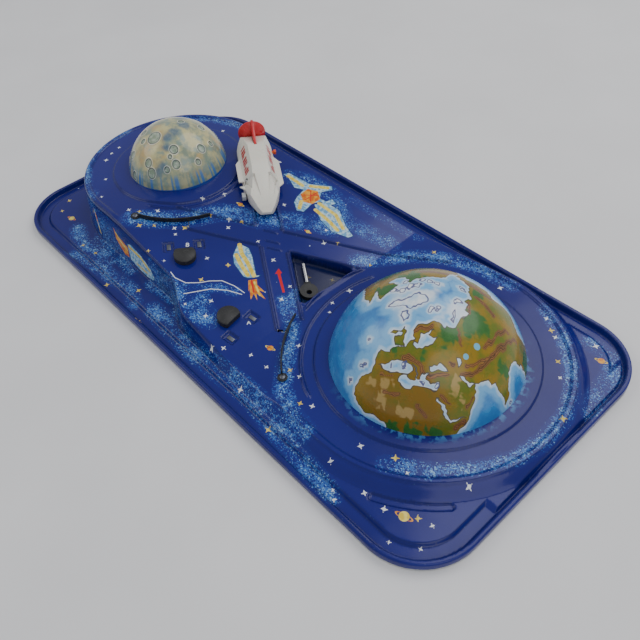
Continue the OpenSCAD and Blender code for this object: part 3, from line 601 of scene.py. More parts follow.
def board_sheet():
    """The pressed sheet: its printed upper face and the plain underside, which stop where the rolled edge
    starts; rolled_edge makes the edge between them.
    """
    span = GRID_STEP * GRID_N
    at = np.linspace(-span / 2, span / 2, GRID_N + 1)
    x, y = np.meshgrid(at, at)
    z, edge = board_height(x, y)
    outside_z = RIM_H - 2
    z = np.where(edge > 0.2, z, outside_z)
    force = np.zeros(z.shape)
    inside = edge > 0
    force[::8, ::8] = inside[::8, ::8]
    # finer cells where a star cloud fades or a printed mark has its edge
    force[::4, ::4] = np.maximum(force[::4, ::4], cloud_density(x[::4, ::4], y[::4, ::4]) > 0.02)
    inks = printed_marks(x, y)
    for ink in inks.values():
        force = np.where((np.abs(ink) < 0.6) & inside, 1, force)
    upper = adaptive_mesh(np.where(inside, z, outside_z), force, 0.055)
    r_earth = np.hypot(x - EARTH[0], y - EARTH[1])
    r_moon = np.hypot(x - MOON[0], y - MOON[1])
    hole = np.minimum(r_earth - EARTH_R, r_moon - MOON_R) < -SHEET
    for *centre, turn in KNOBS.values():
        ku, kv = turned(x, y, centre, turn)
        for s in (-1, 1):
            hole |= box_distance(ku, kv, TAB, s * TAB, 3.2, 2.4) > 0
    for side, (*centre, turn) in PIVOTS.items():
        bu, bv = turned(x, y, centre, turn)
        bv = bv if side == "a" else -bv  # the two blades are mirror images
        hole |= box_distance(bu, bv, LEG_R - 0.4, 4.55, 2.0, 5.65, 1.0) > 0
    skirt = 1.5

    def sheet(name, triangles, drop, flip):
        keep = (edge.ravel()[triangles] > skirt).any(1) & ~hole.ravel()[triangles].all(1)
        triangles = triangles[keep]
        used, index = np.unique(triangles, return_inverse=True)
        px, py, pz = x.ravel()[used].copy(), y.ravel()[used].copy(), z.ravel()[used] - drop
        e = edge.ravel()[used]
        for _ in range(3):  # the outermost points move onto the line where the rolled edge starts
            step = 0.05
            gx = (board_distance(px + step, py) - board_distance(px - step, py)) / (2 * step)
            gy = (board_distance(px, py + step) - board_distance(px, py - step)) / (2 * step)
            move = np.where(e < skirt, skirt - board_distance(px, py), 0)
            px += gx * move
            py += gy * move
        pz = np.where(e < skirt, RIM_H - drop, pz)
        tri = index.reshape(-1, 3)
        tri = tri[:, ::-1] if flip else tri
        return link_triangles(name, np.stack([px, py, pz], 1) * MM, tri), px, py, used

    top, px, py, used = sheet("board_top", upper, 0.0, False)
    attribute(top, "cloud", cloud_density(px, py))
    # the sheet's curvature, which the blue print darkens as painted shade and marks with chips of wear
    gy, gx = np.gradient(z, GRID_STEP)
    slope = np.hypot(gx, gy)
    bend = np.hypot(*np.gradient(slope, GRID_STEP))
    attribute(top, "bend", smooth(bend.ravel()[used] / 0.55 - 0.3))
    well = polygon_distance(px, py, WELL)
    # painted shade over the floor of the key's well
    attribute(top, "dark", np.where(well > 0.6, 0.8, 0.0))
    out = np.hypot(px - EARTH[0], py - EARTH[1])
    toward = np.arctan2(py - EARTH[1], px - EARTH[0])
    attribute(top, "spill", smooth((90 - out) / 7) * smooth(np.cos(toward + 0.5) * 1.6))
    for name, ink in inks.items():
        attribute(top, "ink_" + name, ink.ravel()[used])
    lower = adaptive_mesh(np.where(inside, z, outside_z), np.zeros(z.shape), 0.35)
    under, *_ = sheet("board_underside", lower, SHEET, True)
    return top, under


# prints on the mound's near wall: places along the crest from its southmost point, and heights, in mm
WALL_PALE = [
    [(52, 25), (53, 31), (60, 33), (78, 29), (92, 22), (98, 13), (95, 9), (84, 7), (68, 8), (54, 12)],
    [(-10.5, 43), (-8, 40), (-4.5, 26), (-3, 12), (-5, 8), (-7.5, 14), (-11, 30)]]
WALL_ORANGE = [
    [(28, 37), (34, 30), (44, 28), (52, 25), (52, 13), (44, 12), (36, 18), (30, 24)], [(-9, 38), (-7, 34),
    (-5.6, 26), (-7, 22), (-9, 28)]]
WALL_YELLOW = [
    ([(55, 28), (76, 25.5), (89, 18.5)], 1.7), ([(31, 32), (38, 26), (50, 21)], 1.3), ([(66, 13), (84, 12)],
    1.0), ([(-6.5, 20), (-5, 12)], 0.9)]


def wall_print():
    """A printed length of the mound's near wall, laid a hair's breadth outside the pressed sheet."""
    along, out = np.meshgrid(np.linspace(-30, 106, 190), np.linspace(0.2, 4.9, 46))
    turn = math.radians(-90) + np.minimum(along, 0) / MOON_DECK_R
    reach = np.where(along < 0, MOON_DECK_R + out, 0)
    x = MOUND[0] + np.where(along < 0, reach * np.cos(turn), along)
    y = MOUND[1] + np.where(along < 0, reach * np.sin(turn), -MOON_DECK_R - out)
    z = board_height(x.ravel(), y.ravel())[0].reshape(x.shape)
    proud = 0.14
    x = x + proud * np.cos(turn)
    y = y + proud * np.sin(turn)
    rows, columns = x.shape
    i = np.arange(rows * columns).reshape(rows, columns)
    a, b, c, d = i[:-1, :-1].ravel(), i[1:, :-1].ravel(), i[1:, 1:].ravel(), i[:-1, 1:].ravel()
    triangles = np.concatenate([np.stack([a, b, c], 1), np.stack([a, c, d], 1)])
    obj = link_triangles("board_wall_print", np.stack([x.ravel(), y.ravel(), z.ravel()], 1) * MM, triangles)
    s, h = along.ravel(), z.ravel()
    inside = lambda shapes: np.maximum.reduce([polygon_distance(s, h, np.array(o, float)) for o in shapes])
    yellow = np.maximum.reduce([half - line_distance(s, h, line) for line, half in WALL_YELLOW])
    inks = {"pale": inside(WALL_PALE), "orange": inside(WALL_ORANGE), "yellow": yellow}
    for name in INKS:
        attribute(obj, "ink_" + name, inks.get(name, np.full(s.shape, -FAR)))
    attribute(obj, "cloud", cloud_density(x.ravel(), y.ravel()))
    return obj


PER_CORNER = 28  # points along each rounded corner of the board's outline


def rounded_outline(offset):
    """Points of the board's outline moved inwards by offset, counter-clockwise."""
    r = CORNER_R - offset
    cx, cy = BOARD_L / 2 - CORNER_R, BOARD_W / 2 - CORNER_R
    points = []
    for sx, sy, start in ((1, -1, -90), (1, 1, 0), (-1, 1, 90), (-1, -1, 180)):
        points.extend(arc_points((sx * cx, sy * cy), r, start, start + 90, PER_CORNER))
    return np.array(points)


def rolled_edge():
    """The sheet's edge: over the bead, down the flange and folded back under as a hem."""
    outer = [(1.5, RIM_H), (1.1, 8.92), (0.7, 8.7), (0.35, 8.3), (0.12, 7.8), (0.0, 7.1), (0.0, 4.0),
             (0.0, 0.9), (0.15, 0.35), (0.5, 0.0), (1.6, 0.0)]
    hem = [(2.05, 0.25), (2.2, 0.8), (2.05, 1.35), (1.6, 1.6), (1.0, 1.7), (SHEET, 2.4), (SHEET, 6.6),
           (0.95, 7.6), (1.5, RIM_H - SHEET)]
    profile, n, faces = outer + hem, 4 * PER_CORNER, []
    vertices = np.concatenate([np.column_stack([rounded_outline(d), np.full(n, h)]) for d, h in profile]) * MM
    for i in range(len(profile) - 1):
        for j in range(n):
            k = (j + 1) % n
            faces.append((i * n + j, (i + 1) * n + j, (i + 1) * n + k, i * n + k))
    obj = link("board_rolled_edge", vertices, faces)
    bare = [float(smooth((1.9 - h) / 0.5)) for d, h in outer] + [1.2] * len(hem)
    attribute(obj, "bare", np.repeat(bare, n))
    return obj


def litho_edge():
    """The printed flange, with bare tin showing at the folded hem."""
    n = Nodes("litho_edge")
    base = n.mix(n.ramp(n.noise(30, 3), 0.35, 0.7), (0.0055, 0.008, 0.140), (0.008, 0.012, 0.175))
    chips = n.ramp(n.noise(420, 4, 0.7), 0.62, 0.74)
    color = n.mix(n.times(chips, 0.35), base, (0.22, 0.30, 0.45))
    bare = n.ramp(n.plus(n.value("bare"), n.times(n.noise(160, 3), 0.5)), 0.62, 0.8)
    color = n.mix(bare, color, (0.60, 0.61, 0.62))
    rough = n.plus(0.2, n.times(bare, 0.2))
    n.set(Base_Color=color, Metallic=bare, Roughness=rough, Normal=n.bump(n.noise(90, 3), 0.12, 0.0004),
          Specular_IOR_Level=0.30)
    return n.material


def bare_tin():
    """The unprinted underside: bright tinplate with drawing marks and a little tarnish."""
    n = Nodes("bare_tin")
    stretched = n.add("VectorMath", {0: n.position(), 1: (1.0, 14.0, 14.0)}, operation="MULTIPLY")
    streaks = n.noise(60, 4, 0.6, vector=stretched)
    tarnish = n.ramp(n.noise(14, 5, 0.65), 0.5, 0.75)
    color = n.mix(n.ramp(streaks, 0.3, 0.7), (0.50, 0.50, 0.50), (0.66, 0.66, 0.65))
    color = n.mix(n.times(tarnish, 0.4), color, (0.33, 0.28, 0.22))
    n.set(Base_Color=color, Metallic=1.0, Roughness=n.ramp(streaks, 0.3, 0.75, 0.28, 0.46),
          Normal=n.bump(streaks, 0.15, 0.0003))
    return n.material


def paint(obj, material, slot_name=None, body="board"):
    """Gives obj its material, and lets a new piece ride on its body; slot_name is not used."""
    obj.data.materials.clear()
    obj.data.materials.append(material)
    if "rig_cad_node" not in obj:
        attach(obj, body)
    return obj


board_top, board_under = board_sheet()
board_edge = rolled_edge()
blue = litho_blue()
paint(board_top, blue, "litho_tin")
paint(wall_print(), blue, "litho_tin")
paint(board_under, bare_tin(), "litho_tin")
paint(board_edge, litho_edge(), "litho_tin")
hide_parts("track_plate")


# ---------- the two planets ----------
# map outlines in degrees from the dome's top: east and north on the plan
OLD_WORLD = [
    (-6, 29), (1, 28), (6, 26), (11, 20), (14, 17), (13, 13), (16, 13), (17, 8), (20, 8), (20, 4), (21, 1),
    (21, -4), (20, -7), (18, -7), (18, -9), (14, -9), (11, -12), (8, -17), (7, -21), (9, -23), (11, -24),
    (10, -26), (9, -30), (6, -33), (3, -36), (4, -38), (-1, -39), (-1, -43), (1, -47), (0, -53), (-4, -58),
    (-6, -65), (-5, -69), (0, -73), (8, -75), (16, -72), (24, -71), (28, -75), (30, -82), (48, -70),
    (60, -57), (66, -43), (65, -35), (63, -31), (61, -28), (58, -22), (53, -17), (50, -16), (52, -11),
    (53, -7), (57, -6), (58, -3), (63, -3), (70, 0), (75, 0), (71, 4), (59, 9), (55, 15), (56, 21),
    (60, 25), (66, 32), (76, 38), (70, 48), (60, 54), (53, 52), (48, 42), (43, 38), (37, 39), (32, 43),
    (26, 41), (19, 36), (13, 37), (6, 36), (0, 33), (-7, 34)]
AMERICA = [
    (-55, -2), (-46, -8), (-36, -17), (-28, -19), (-32, -10), (-24, -15), (-22, -9), (-22, -2), (-30, -1),
    (-29, 4), (-25, 7), (-17, 3), (-17, 8), (-13, 14), (-8, 19), (-8, 28), (-8, 36), (-16, 42), (-28, 50),
    (-42, 52), (-58, 42), (-66, 26), (-79, 22), (-80, 10), (-66, -4), (-60, -10)]
SEAS = [
    [(2, -47), (5, -45), (7, -42), (8, -40), (12, -37), (14, -35), (17, -35), (21, -37), (20, -40),
    (18, -42), (17, -45), (18, -47), (21, -47), (26, -45), (26, -42), (31, -40), (38, -36), (38, -33),
    (36, -31), (32, -35), (29, -35), (28, -32), (26, -35), (27, -37), (26, -38), (23, -36), (18, -34),
    (19, -35), (23, -37), (25, -39), (23, -41), (19, -41), (14, -43), (9, -46)], [(26, -30), (27, -27),
    (29, -26), (30, -24), (33, -23), (35, -23), (34, -25), (31, -27), (28, -31)], [(15, -13), (13, -15),
    (12, -19), (13, -22), (14, -25), (11, -25), (12, -27), (15, -28), (17, -26), (18, -23), (20, -16),
    (17, -18), (14, -17)], [(40, -38), (42, -37), (48, -38), (56, -40), (61, -31), (59, -38), (57, -42),
    (46, -40)], [(41, -21), (43, -19), (46, -19), (50, -15), (49, -19), (46, -21)], [(33, -16), (35, -14),
    (37, -15), (38, -17), (37, -18)]]
ICE = [
    [(-14, -17), (-14, -13), (-11, -10), (-8, -6), (-7, -1), (-3, 0), (1, -3), (-1, -6), (-1, -10),
    (-3, -13), (-8, -13), (-11, -16)], [(-5, -17), (-4, -15), (-1, -15), (0, -18), (-1, -20)], [(16, -2),
    (14, 1), (14, 4), (16, 1), (18, -3)]]
ISLES = [
    [(2, -30), (3, -28), (3, -26), (1, -26), (2, -23), (4, -23), (6, -28), (8, -30), (5, -32)], [(-2, -29),
    (-1, -27), (1, -26), (1, -29)]]
# small snowy islands: centre and radius
ISLETS = [
    (6, -6, 1.3), (8, -3, 1.1), (11, 8, 1.4), (12, 10, 1.4), (5, 20, 1.1), (7, 19, 1.1), (-14, 9, 1.5),
    (-9, 10, 1.7), (-5, 11, 1.5), (-12, 3, 1.4), (-14, 0, 1.8), (-16, -4, 1.8), (-20, -6, 1.4),
    (-20, 2, 1.3), (-11, -38, 0.7), (-7, -52, 0.9), (-6, -50, 0.6), (-12, -64, 0.7), (9, -42, 0.8),
    (15, -37, 0.9), (16, -39, 0.8), (29, -39, 0.8), (36, -34, 1.0), (75, 5, 1.0)]
LAKES = [(36, -11, 1.6), (36, -2, 1.9)]
# half width and line of each mountain range
RIDGES = [
    (1.3, [(8, -21), (10, -17), (13, -13)]), (1.0, [(23, -4), (27, -7), (31, -9)]), (1.2, [(12, -35),
    (14, -33), (18, -32), (22, -32), (26, -35)]), (0.8, [(32, -21), (35, -19)]), (1.1, [(29, -33),
    (33, -29), (36, -25)]), (1.5, [(42, -19), (46, -11), (46, -4), (45, 1), (44, 10), (44, 20), (46, 29)]),
    (1.4, [(39, 2), (38, 13), (38, 25), (40, 25)]), (1.0, [(40, -14), (43, -6), (46, 6), (46, 16)]), (2.0,
    [(1, 28), (8, 30), (15, 32), (18, 33)]), (1.6, [(15, 22), (22, 23), (29, 22)]), (0.9, [(15, 14),
    (20, 8)]), (2.2, [(-22, 18), (-14, 24), (-9, 27)]), (1.2, [(14, -56), (18, -54), (23, -51)]), (1.3,
    [(35, -49), (39, -50), (43, -50)]), (0.7, [(7, -49), (13, -46)]), (1.8, [(62, -40), (63, -34)]), (1.0,
    [(42, -35), (48, -35)]), (1.0, [(56, -27), (55, -21)]), (2.0, [(-40, 20), (-50, 30), (-60, 34)])]
DESERTS = [(3, -55, 3), (13, -52, 4), (14, -61, 4), (31, -57, 5), (43, -25, 4), (53, -28, 3)]
FORESTS = [
    (20, -28, 3), (22, -10, 6), (26, 8, 8), (27, 1, 6), (6, -36, 3), (55, 6, 5), (-24, -7, 8), (-21, 9, 8),
    (23, 5, 3), (30, -74, 7), (45, -65, 8), (55, -52, 6), (62, 40, 9), (-45, 12, 9), (-34, 34, 8),
    (14, 26, 5)]
CRATERS = [
    (3, -24, 8), (32, -18, 5), (46, -27, 5), (46, 12, 5), (17, -50, 5), (27, -57, 6), (-19, -53, 5),
    (-40, -60, 5), (-5, -74, 5), (42, 30, 3), (58, -1, 3.5), (42, -40, 3.5), (3, 14, 3), (18, 32, 4),
    (35, -27, 2.5), (-21, -24, 4), (-9, -34, 3), (-30, 20, 6), (-48, -10, 5), (-10, 48, 6), (-45, 44, 5),
    (12, 62, 4), (-62, 20, 6), (30, 58, 4)]
MOON_PATCHES = [
    (15, -13, 7), (14, -3, 7), (11, 13, 8), (-6, 23, 6), (24, -23, 6), (36, -42, 7), (35, -50, 7),
    (-35, 5, 10), (-25, 45, 10)]


def nearest(distance, outlines):
    """The greatest of the signed distances to several outlines."""
    return np.maximum.reduce([distance(o) for o in outlines])


def shaken(east, north, size):
    """The same places moved a little, so that drawn outlines wander like brushwork."""
    move_e, move_n = np.zeros(east.shape), np.zeros(east.shape)
    for k, (a, b, c, d) in enumerate(rng.uniform(0.35, 1.0, (7, 4)) * np.linspace(0.5, 2.6, 7)[:, None]):
        move_e += np.sin(a * east + b * north + 2 * k) / (1 + 0.5 * k)
        move_n += np.sin(c * north - d * east + 5 * k) / (1 + 0.5 * k)
    return east + size * move_e, north + size * move_n


def spots(e, n, centres):
    """How deep each point lies in the nearest of some round spots, in degrees."""
    return np.maximum.reduce([r - np.hypot(e - a, n - b) for a, b, r in centres])


def dome(name, centre, foot_z, foot_r, high, rings, around, shrink=0.0, shape=None):
    """A ball cap on a polar grid that runs a little below the deck; returns it and its polar angles."""
    ball = (foot_r ** 2 + high ** 2) / (2 * high)
    low = foot_z + high - ball
    ball -= shrink
    most = math.acos((foot_z - 1.0 - low) / ball)
    theta = np.linspace(0, 1, rings + 1)[1:] * most
    phi = np.arange(around) * 2 * math.pi / around
    tt, pp = [g.ravel() for g in np.meshgrid(theta, phi, indexing="ij")]
    tt, pp = np.append(tt, 0.0), np.append(pp, 0.0)
    east, north = np.degrees(tt) * np.cos(pp), np.degrees(tt) * np.sin(pp)
    r = ball + (shape(east, north) if shape else 0)
    points = np.stack([centre[0] + r * np.sin(tt) * np.cos(pp), centre[1] + r * np.sin(tt) * np.sin(pp),
                       low + r * np.cos(tt)], 1)
    i, j = np.meshgrid(np.arange(rings - 1), np.arange(around), indexing="ij")
    k = (j + 1) % around
    a, b, c, d = i * around + j, (i + 1) * around + j, (i + 1) * around + k, i * around + k
    cap = np.stack([np.full(around, rings * around), np.arange(around), (np.arange(around) + 1) % around], 1)
    first, second = [np.stack(corners, 2).reshape(-1, 3) for corners in ((a, b, c), (a, c, d))]
    faces = np.concatenate([first, second, cap])
    faces = faces[:, ::-1] if shrink else faces
    return link_triangles(name, points * MM, faces), east, north


def earth_paint():
    """Hand-painted map: ochre and olive land with dark coastlines, white shores fading to blue sea."""
    n = Nodes("earth_map")
    wobble = n.times(n.math("SUBTRACT", n.noise(160, 3), 0.5), 1.2)
    land, ice, ridge = n.value("land"), n.value("ice"), n.value("ridge")
    out = n.plus(n.times(n.value("shore"), -1.0), wobble)
    cold = n.value("cold")
    # sea: white against the shore, then steps of deeper blue
    brush = n.noise(70, 4, 0.6)
    deep = n.mix(n.ramp(brush, 0.35, 0.7), (0.030, 0.175, 0.47), (0.055, 0.27, 0.60))
    mid = n.mix(brush, (0.12, 0.38, 0.69), (0.20, 0.47, 0.75))
    pale = n.mix(brush, (0.36, 0.57, 0.78), (0.50, 0.67, 0.82))
    white = (0.80, 0.82, 0.84)
    reach = n.times(out, n.ramp(cold, 0, 1, 1.0, 1.15))
    sea = n.mix(n.ramp(reach, 0.3, 0.9), white, pale)
    sea = n.mix(n.ramp(reach, 1.1, 2.9), sea, mid)
    sea = n.mix(n.ramp(reach, 4.2, 8.5), sea, deep)
    floes = n.times(cold, n.ramp(n.noise(42, 3), 0.50, 0.66))
    sea = n.mix(n.times(floes, 0.7), sea, white)
    # land
    ground = n.noise(55, 4, 0.6)
    grain = n.noise(230, 3, 0.6)
    color = n.mix(n.ramp(ground, 0.38, 0.62), (0.115, 0.150, 0.003), (0.27, 0.165, 0.003))
    color = n.mix(n.times(n.value("warm"), n.ramp(ground, 0.3, 0.6, 0.45, 1)), color, (0.215, 0.115, 0.003))
    color = n.mix(n.ramp(grain, 0.5, 0.75, 0, 0.5), color, (0.13, 0.12, 0.004))
    forest = n.ramp(n.plus(n.value("forest"), n.times(wobble, 2.4)), -0.8, 1.6)
    color = n.mix(forest, color, n.mix(grain, (0.012, 0.085, 0.012), (0.04, 0.17, 0.02)))
    desert = n.ramp(n.plus(n.value("desert"), n.times(wobble, 2.6)), -0.4, 1.6)
    color = n.mix(n.times(desert, 0.85), color, (0.42, 0.28, 0.085))
    # mountain ranges: brown strokes that run along each range
    folds = n.math("SINE", n.times(n.plus(ridge, n.times(wobble, 0.35)), 9.0))
    rock = n.mix(n.ramp(folds, -0.5, 0.6), (0.075, 0.024, 0.010), (0.29, 0.115, 0.035))
    color = n.mix(n.times(n.ramp(n.plus(ridge, wobble), -0.5, 0.5), 0.9), color, rock)
    color = n.mix(n.ramp(n.value("lake"), -0.1, 0.1), color, (0.14, 0.44, 0.62))
    color = n.mix(n.ramp(land, -0.08, 0.08), sea, color)
    coast = n.times(n.ramp(land, -0.45, -0.25), n.ramp(land, 0.05, 0.3, 1, 0))
    color = n.mix(n.times(coast, 0.9), color, (0.030, 0.022, 0.012))
    # snow-covered islands with blue outlines
    snow = n.mix(n.ramp(brush, 0.4, 0.6), (0.48, 0.63, 0.78), (0.80, 0.83, 0.85))
    color = n.mix(n.ramp(ice, -0.05, 0.1), color, snow)
    rim = n.times(n.ramp(ice, -0.5, -0.3), n.ramp(ice, 0.25, 0.55, 1, 0))
    color = n.mix(n.times(rim, 0.9), color, (0.035, 0.045, 0.19))
    # the foot: a pale line of painted highlight, stronger on the near side, and the blue of the board under
    # it
    foot = n.value("foot")
    color = n.mix(n.ramp(foot, 0.35, 0.5), color, (0.60, 0.60, 0.52))
    color = n.mix(n.ramp(foot, 0.80, 0.9), color, (0.02, 0.07, 0.33))
    height = n.plus(n.noise(28, 2), n.times(grain, 0.12))
    rough = n.ramp(brush, 0.3, 0.7, 0.20, 0.30)
    n.set(Base_Color=color, Roughness=rough, Normal=n.bump(height, 0.10, 0.0006),
          Coat_Weight=0.15, Coat_Roughness=0.06, Specular_IOR_Level=0.4)
    return n.material


def moon_paint():
    """Cream and grey-green Moon with blue shadows, ringed craters and vertical strokes towards the foot."""
    n = Nodes("moon_map")
    brush, grain = n.noise(75, 4, 0.65), n.noise(300, 3, 0.6)
    wobble = n.times(n.math("SUBTRACT", n.noise(210, 3), 0.5), 1.6)
    color = n.mix(n.ramp(brush, 0.36, 0.6), (0.21, 0.26, 0.19), (0.52, 0.48, 0.23))
    color = n.mix(n.ramp(n.noise(40, 3), 0.55, 0.72), color, (0.47, 0.34, 0.14))
    color = n.mix(n.ramp(n.noise(95, 3), 0.52, 0.68, 0, 0.8), color, (0.20, 0.28, 0.24))
    blot = n.ramp(n.plus(n.value("patch"), n.times(wobble, 4.5)), -2.0, 4.5)
    color = n.mix(n.times(blot, 0.85), color, n.mix(grain, (0.035, 0.075, 0.14), (0.13, 0.21, 0.27)))
    low = n.value("low")
    stroke = n.value("stroke")
    band = n.times(low, n.ramp(stroke, 0.25, 0.75, 0.35, 1.0))
    tint = n.mix(n.ramp(stroke, 0.42, 0.62), (0.045, 0.13, 0.21), (0.12, 0.24, 0.22))
    color = n.mix(n.times(band, 0.8), color, tint)
    color = n.mix(n.times(n.ramp(low, 0.5, 1), n.ramp(stroke, 0.55, 0.8)), color, (0.06, 0.17, 0.42))
    crater = n.plus(n.value("crater"), n.times(wobble, 0.25))
    bowl = n.mix(n.ramp(grain, 0.4, 0.6), (0.17, 0.25, 0.18), (0.30, 0.37, 0.30))
    color = n.mix(n.times(n.ramp(crater, 0.1, 0.5), 0.85), color, bowl)
    wall = n.times(n.ramp(crater, -0.5, -0.1), n.ramp(crater, 0.5, 1.1, 1, 0))
    color = n.mix(n.times(wall, 0.85), color, (0.035, 0.055, 0.065))
    halo = n.times(n.ramp(crater, -1.3, -0.9), n.ramp(crater, -0.6, -0.35, 1, 0))
    color = n.mix(n.times(halo, 0.7), color, (0.72, 0.72, 0.62))
    color = n.mix(n.ramp(n.value("foot"), 0.25, 0.6), color, (0.015, 0.05, 0.28))
    height = n.plus(n.noise(35, 2), n.times(grain, 0.12))
    rough = n.ramp(brush, 0.3, 0.7, 0.16, 0.26)
    n.set(Base_Color=color, Roughness=rough, Normal=n.bump(height, 0.12, 0.0006),
          Coat_Weight=0.5, Coat_Roughness=0.04, Specular_IOR_Level=0.4)
    return n.material


def crater_relief(east, north):
    """Shallow pressed bowls with a raised lip."""
    total = np.zeros(east.shape)
    for a, b, r in CRATERS:
        d = np.hypot(east - a, north - b) - r
        total += 0.28 * pulse(d, 0.4, 1.6) - 0.55 * smooth((-d + 0.3) / (0.55 * r))
    return total * smooth((82 - np.hypot(east, north)) / 6)


def planets():
    """Both domes with their map values, and the bare insides seen from below."""
    earth, east, north = dome("earth_dome", EARTH, EARTH_Z, EARTH_R, EARTH_H, 165, 540)
    far = np.hypot(east, north)
    fine_e, fine_n = shaken(east, north, 0.42)
    rough_e, rough_n = shaken(east, north, 1.3)
    field = lambda o: polygon_distance(fine_e, fine_n, np.array(o, float))
    old, new = field(OLD_WORLD), field(AMERICA)
    land = np.maximum(np.minimum(old, -nearest(field, SEAS)), new)
    land = np.maximum(land, nearest(field, ISLES))
    ice = np.maximum(nearest(field, ICE), spots(*shaken(east, north, 0.55), ISLETS))
    attribute(earth, "land", land)
    attribute(earth, "shore", np.maximum(land, ice))
    attribute(earth, "ice", ice)
    attribute(earth, "cold", smooth((30 - np.hypot(east - 2, north - 4)) / 14))
    ridges = [half - line_distance(fine_e, fine_n, line) for half, line in RIDGES]
    attribute(earth, "ridge", np.maximum.reduce(ridges))
    attribute(earth, "forest", spots(rough_e, rough_n, FORESTS))
    attribute(earth, "desert", spots(rough_e, rough_n, DESERTS))
    attribute(earth, "lake", spots(east, north, LAKES))
    attribute(earth, "warm", smooth((38 - np.hypot(east - 30, north + 58)) / 20))
    # painted highlight along the Earth's foot: the pale line is stronger on the near side
    near_side = smooth((-north * 0.8 + east * 0.5 + 40) / 70)
    attribute(earth, "foot", smooth((far - 76.6) / 4.2) * (0.55 + 0.45 * near_side))
    paint(earth, earth_paint(), "litho_tin")
    moon, east, north = dome("moon_dome", MOON, MOON_Z, MOON_R, MOON_H, 120, 420, shape=crater_relief)
    far, phi = np.hypot(east, north), np.arctan2(north, east)
    waves = sum(math.sin(1.7 * k) * np.sin(k * phi + 2.3 * k) for k in (9, 14, 23, 37, 58, 81)) / 2.6
    attribute(moon, "crater", spots(east, north, CRATERS))
    attribute(moon, "patch", spots(east, north, MOON_PATCHES))
    attribute(moon, "low", smooth((far - 50) / 26))
    attribute(moon, "stroke", 0.5 + 0.5 * waves)
    attribute(moon, "foot", smooth((far - 79) / 5))
    paint(moon, moon_paint(), "litho_tin")
    tin = bare_tin()
    for name, *form in (("earth", EARTH, EARTH_Z, EARTH_R, EARTH_H), ("moon", MOON, MOON_Z, MOON_R, MOON_H)):
        inside, *_ = dome(name + "_dome_inside", *form, 40, 120, shrink=SHEET)
        paint(inside, tin, "litho_tin")


planets()


# ---------- finishes of the separate parts ----------
def scratches(n, scale, low=0.60, high=0.68):
    """Fine marks running in two directions."""
    marks = []
    for stretch in ((1.0, 9.0, 3.0), (8.0, 1.0, 5.0)):
        along = n.add("VectorMath", {0: n.position(), 1: stretch}, operation="MULTIPLY")
        marks.append(n.ramp(n.noise(scale, 3, 0.55, vector=along, distortion=0.4), low, high))
    return n.math("MAXIMUM", *marks)


def plastic(name, base, scuffed, rough=0.3, grain=0.12, coat=0.0):
    """Moulded plastic: faint flow marks, handled patches that shine less, thin scuffs."""
    n = Nodes(name)
    flow = n.noise(35, 4, 0.55, distortion=0.6)
    color = n.mix(n.ramp(flow, 0.35, 0.7), base, tuple(0.82 * c for c in base))
    marks = scratches(n, 160)
    color = n.mix(n.times(marks, 0.35), color, scuffed)
    touched = n.ramp(n.noise(70, 3), 0.4, 0.7, rough, rough + 0.16)
    height = n.plus(n.noise(1400, 2), n.times(marks, -0.4))
    n.set(Base_Color=color, Roughness=touched, Normal=n.bump(height, grain, 0.0002), Coat_Weight=coat,
          Specular_IOR_Level=0.45)
    return n.material


def metal(name, base, tarnish, rough=0.28, rubbed=0.1, spots=0.35):
    """Plated or bare metal: rolling marks, rubbed places and spots of tarnish."""
    n = Nodes(name)
    grain = n.add("VectorMath", {0: n.position(), 1: (1.0, 6.0, 6.0)}, operation="MULTIPLY")
    lines = n.noise(240, 4, 0.6, vector=grain)
    color = n.mix(n.ramp(lines, 0.3, 0.7), base, tuple(0.78 * c for c in base))
    dull = n.ramp(n.noise(90, 4, 0.65), 0.52, 0.72)
    color = n.mix(n.times(dull, spots), color, tarnish)
    shine = n.plus(n.ramp(lines, 0.3, 0.75, rough - rubbed, rough + rubbed), n.times(dull, 0.18))
    n.set(Base_Color=color, Metallic=1.0, Roughness=shine, Normal=n.bump(lines, 0.14, 0.0002))
    return n.material


def rubber():
    """Black tyres with dust in the grain."""
    n = Nodes("tyre_rubber")
    dust = n.ramp(n.noise(150, 4, 0.6), 0.48, 0.7)
    color = n.mix(n.times(dust, 0.5), (0.013, 0.013, 0.014), (0.055, 0.052, 0.048))
    n.set(Base_Color=color, Roughness=n.ramp(dust, 0, 1, 0.6, 0.85),
          Normal=n.bump(n.noise(900, 3), 0.35, 0.0003))
    return n.material


def shell_finish():
    """The rocket's off-white moulding: a little yellowed, grey dirt and painted shade in the hollows, rubbed
    edges.
    """
    n = Nodes("shell_white")
    base = n.mix(n.ramp(n.noise(14, 3), 0.35, 0.7), (0.76, 0.735, 0.655), (0.70, 0.665, 0.57))
    # grey in the hollows from ambient occlusion: partly dirt, partly painted shade
    hollow = n.ramp(n.add("AmbientOcclusion", {"Distance": 0.004}, out=1), 0.35, 0.9, 1, 0)
    dirt_and_shade = n.times(hollow, n.ramp(n.noise(220, 4, 0.6), 0.3, 0.65, 0.45, 1.0))
    color = n.mix(n.times(dirt_and_shade, 0.65), base, (0.27, 0.25, 0.21))
    marks = scratches(n, 130, 0.62, 0.70)
    color = n.mix(n.times(marks, 0.28), color, (0.48, 0.46, 0.41))
    rough = n.ramp(n.noise(60, 3), 0.35, 0.7, 0.26, 0.40)
    height = n.plus(n.noise(60, 3), n.times(n.noise(1300, 2), 0.15))
    n.set(Base_Color=color, Roughness=rough, Normal=n.bump(height, 0.12, 0.0003), Subsurface_Weight=0.04,
          Subsurface_Scale=0.001, Specular_IOR_Level=0.42)
    return n.material


# the cockpit recess on one side, in the rocket's plan
PANE = [(15, 7), (37, 4), (38, 9.5), (29.2, 12.2), (15, 16.5), (15, 9.2)]


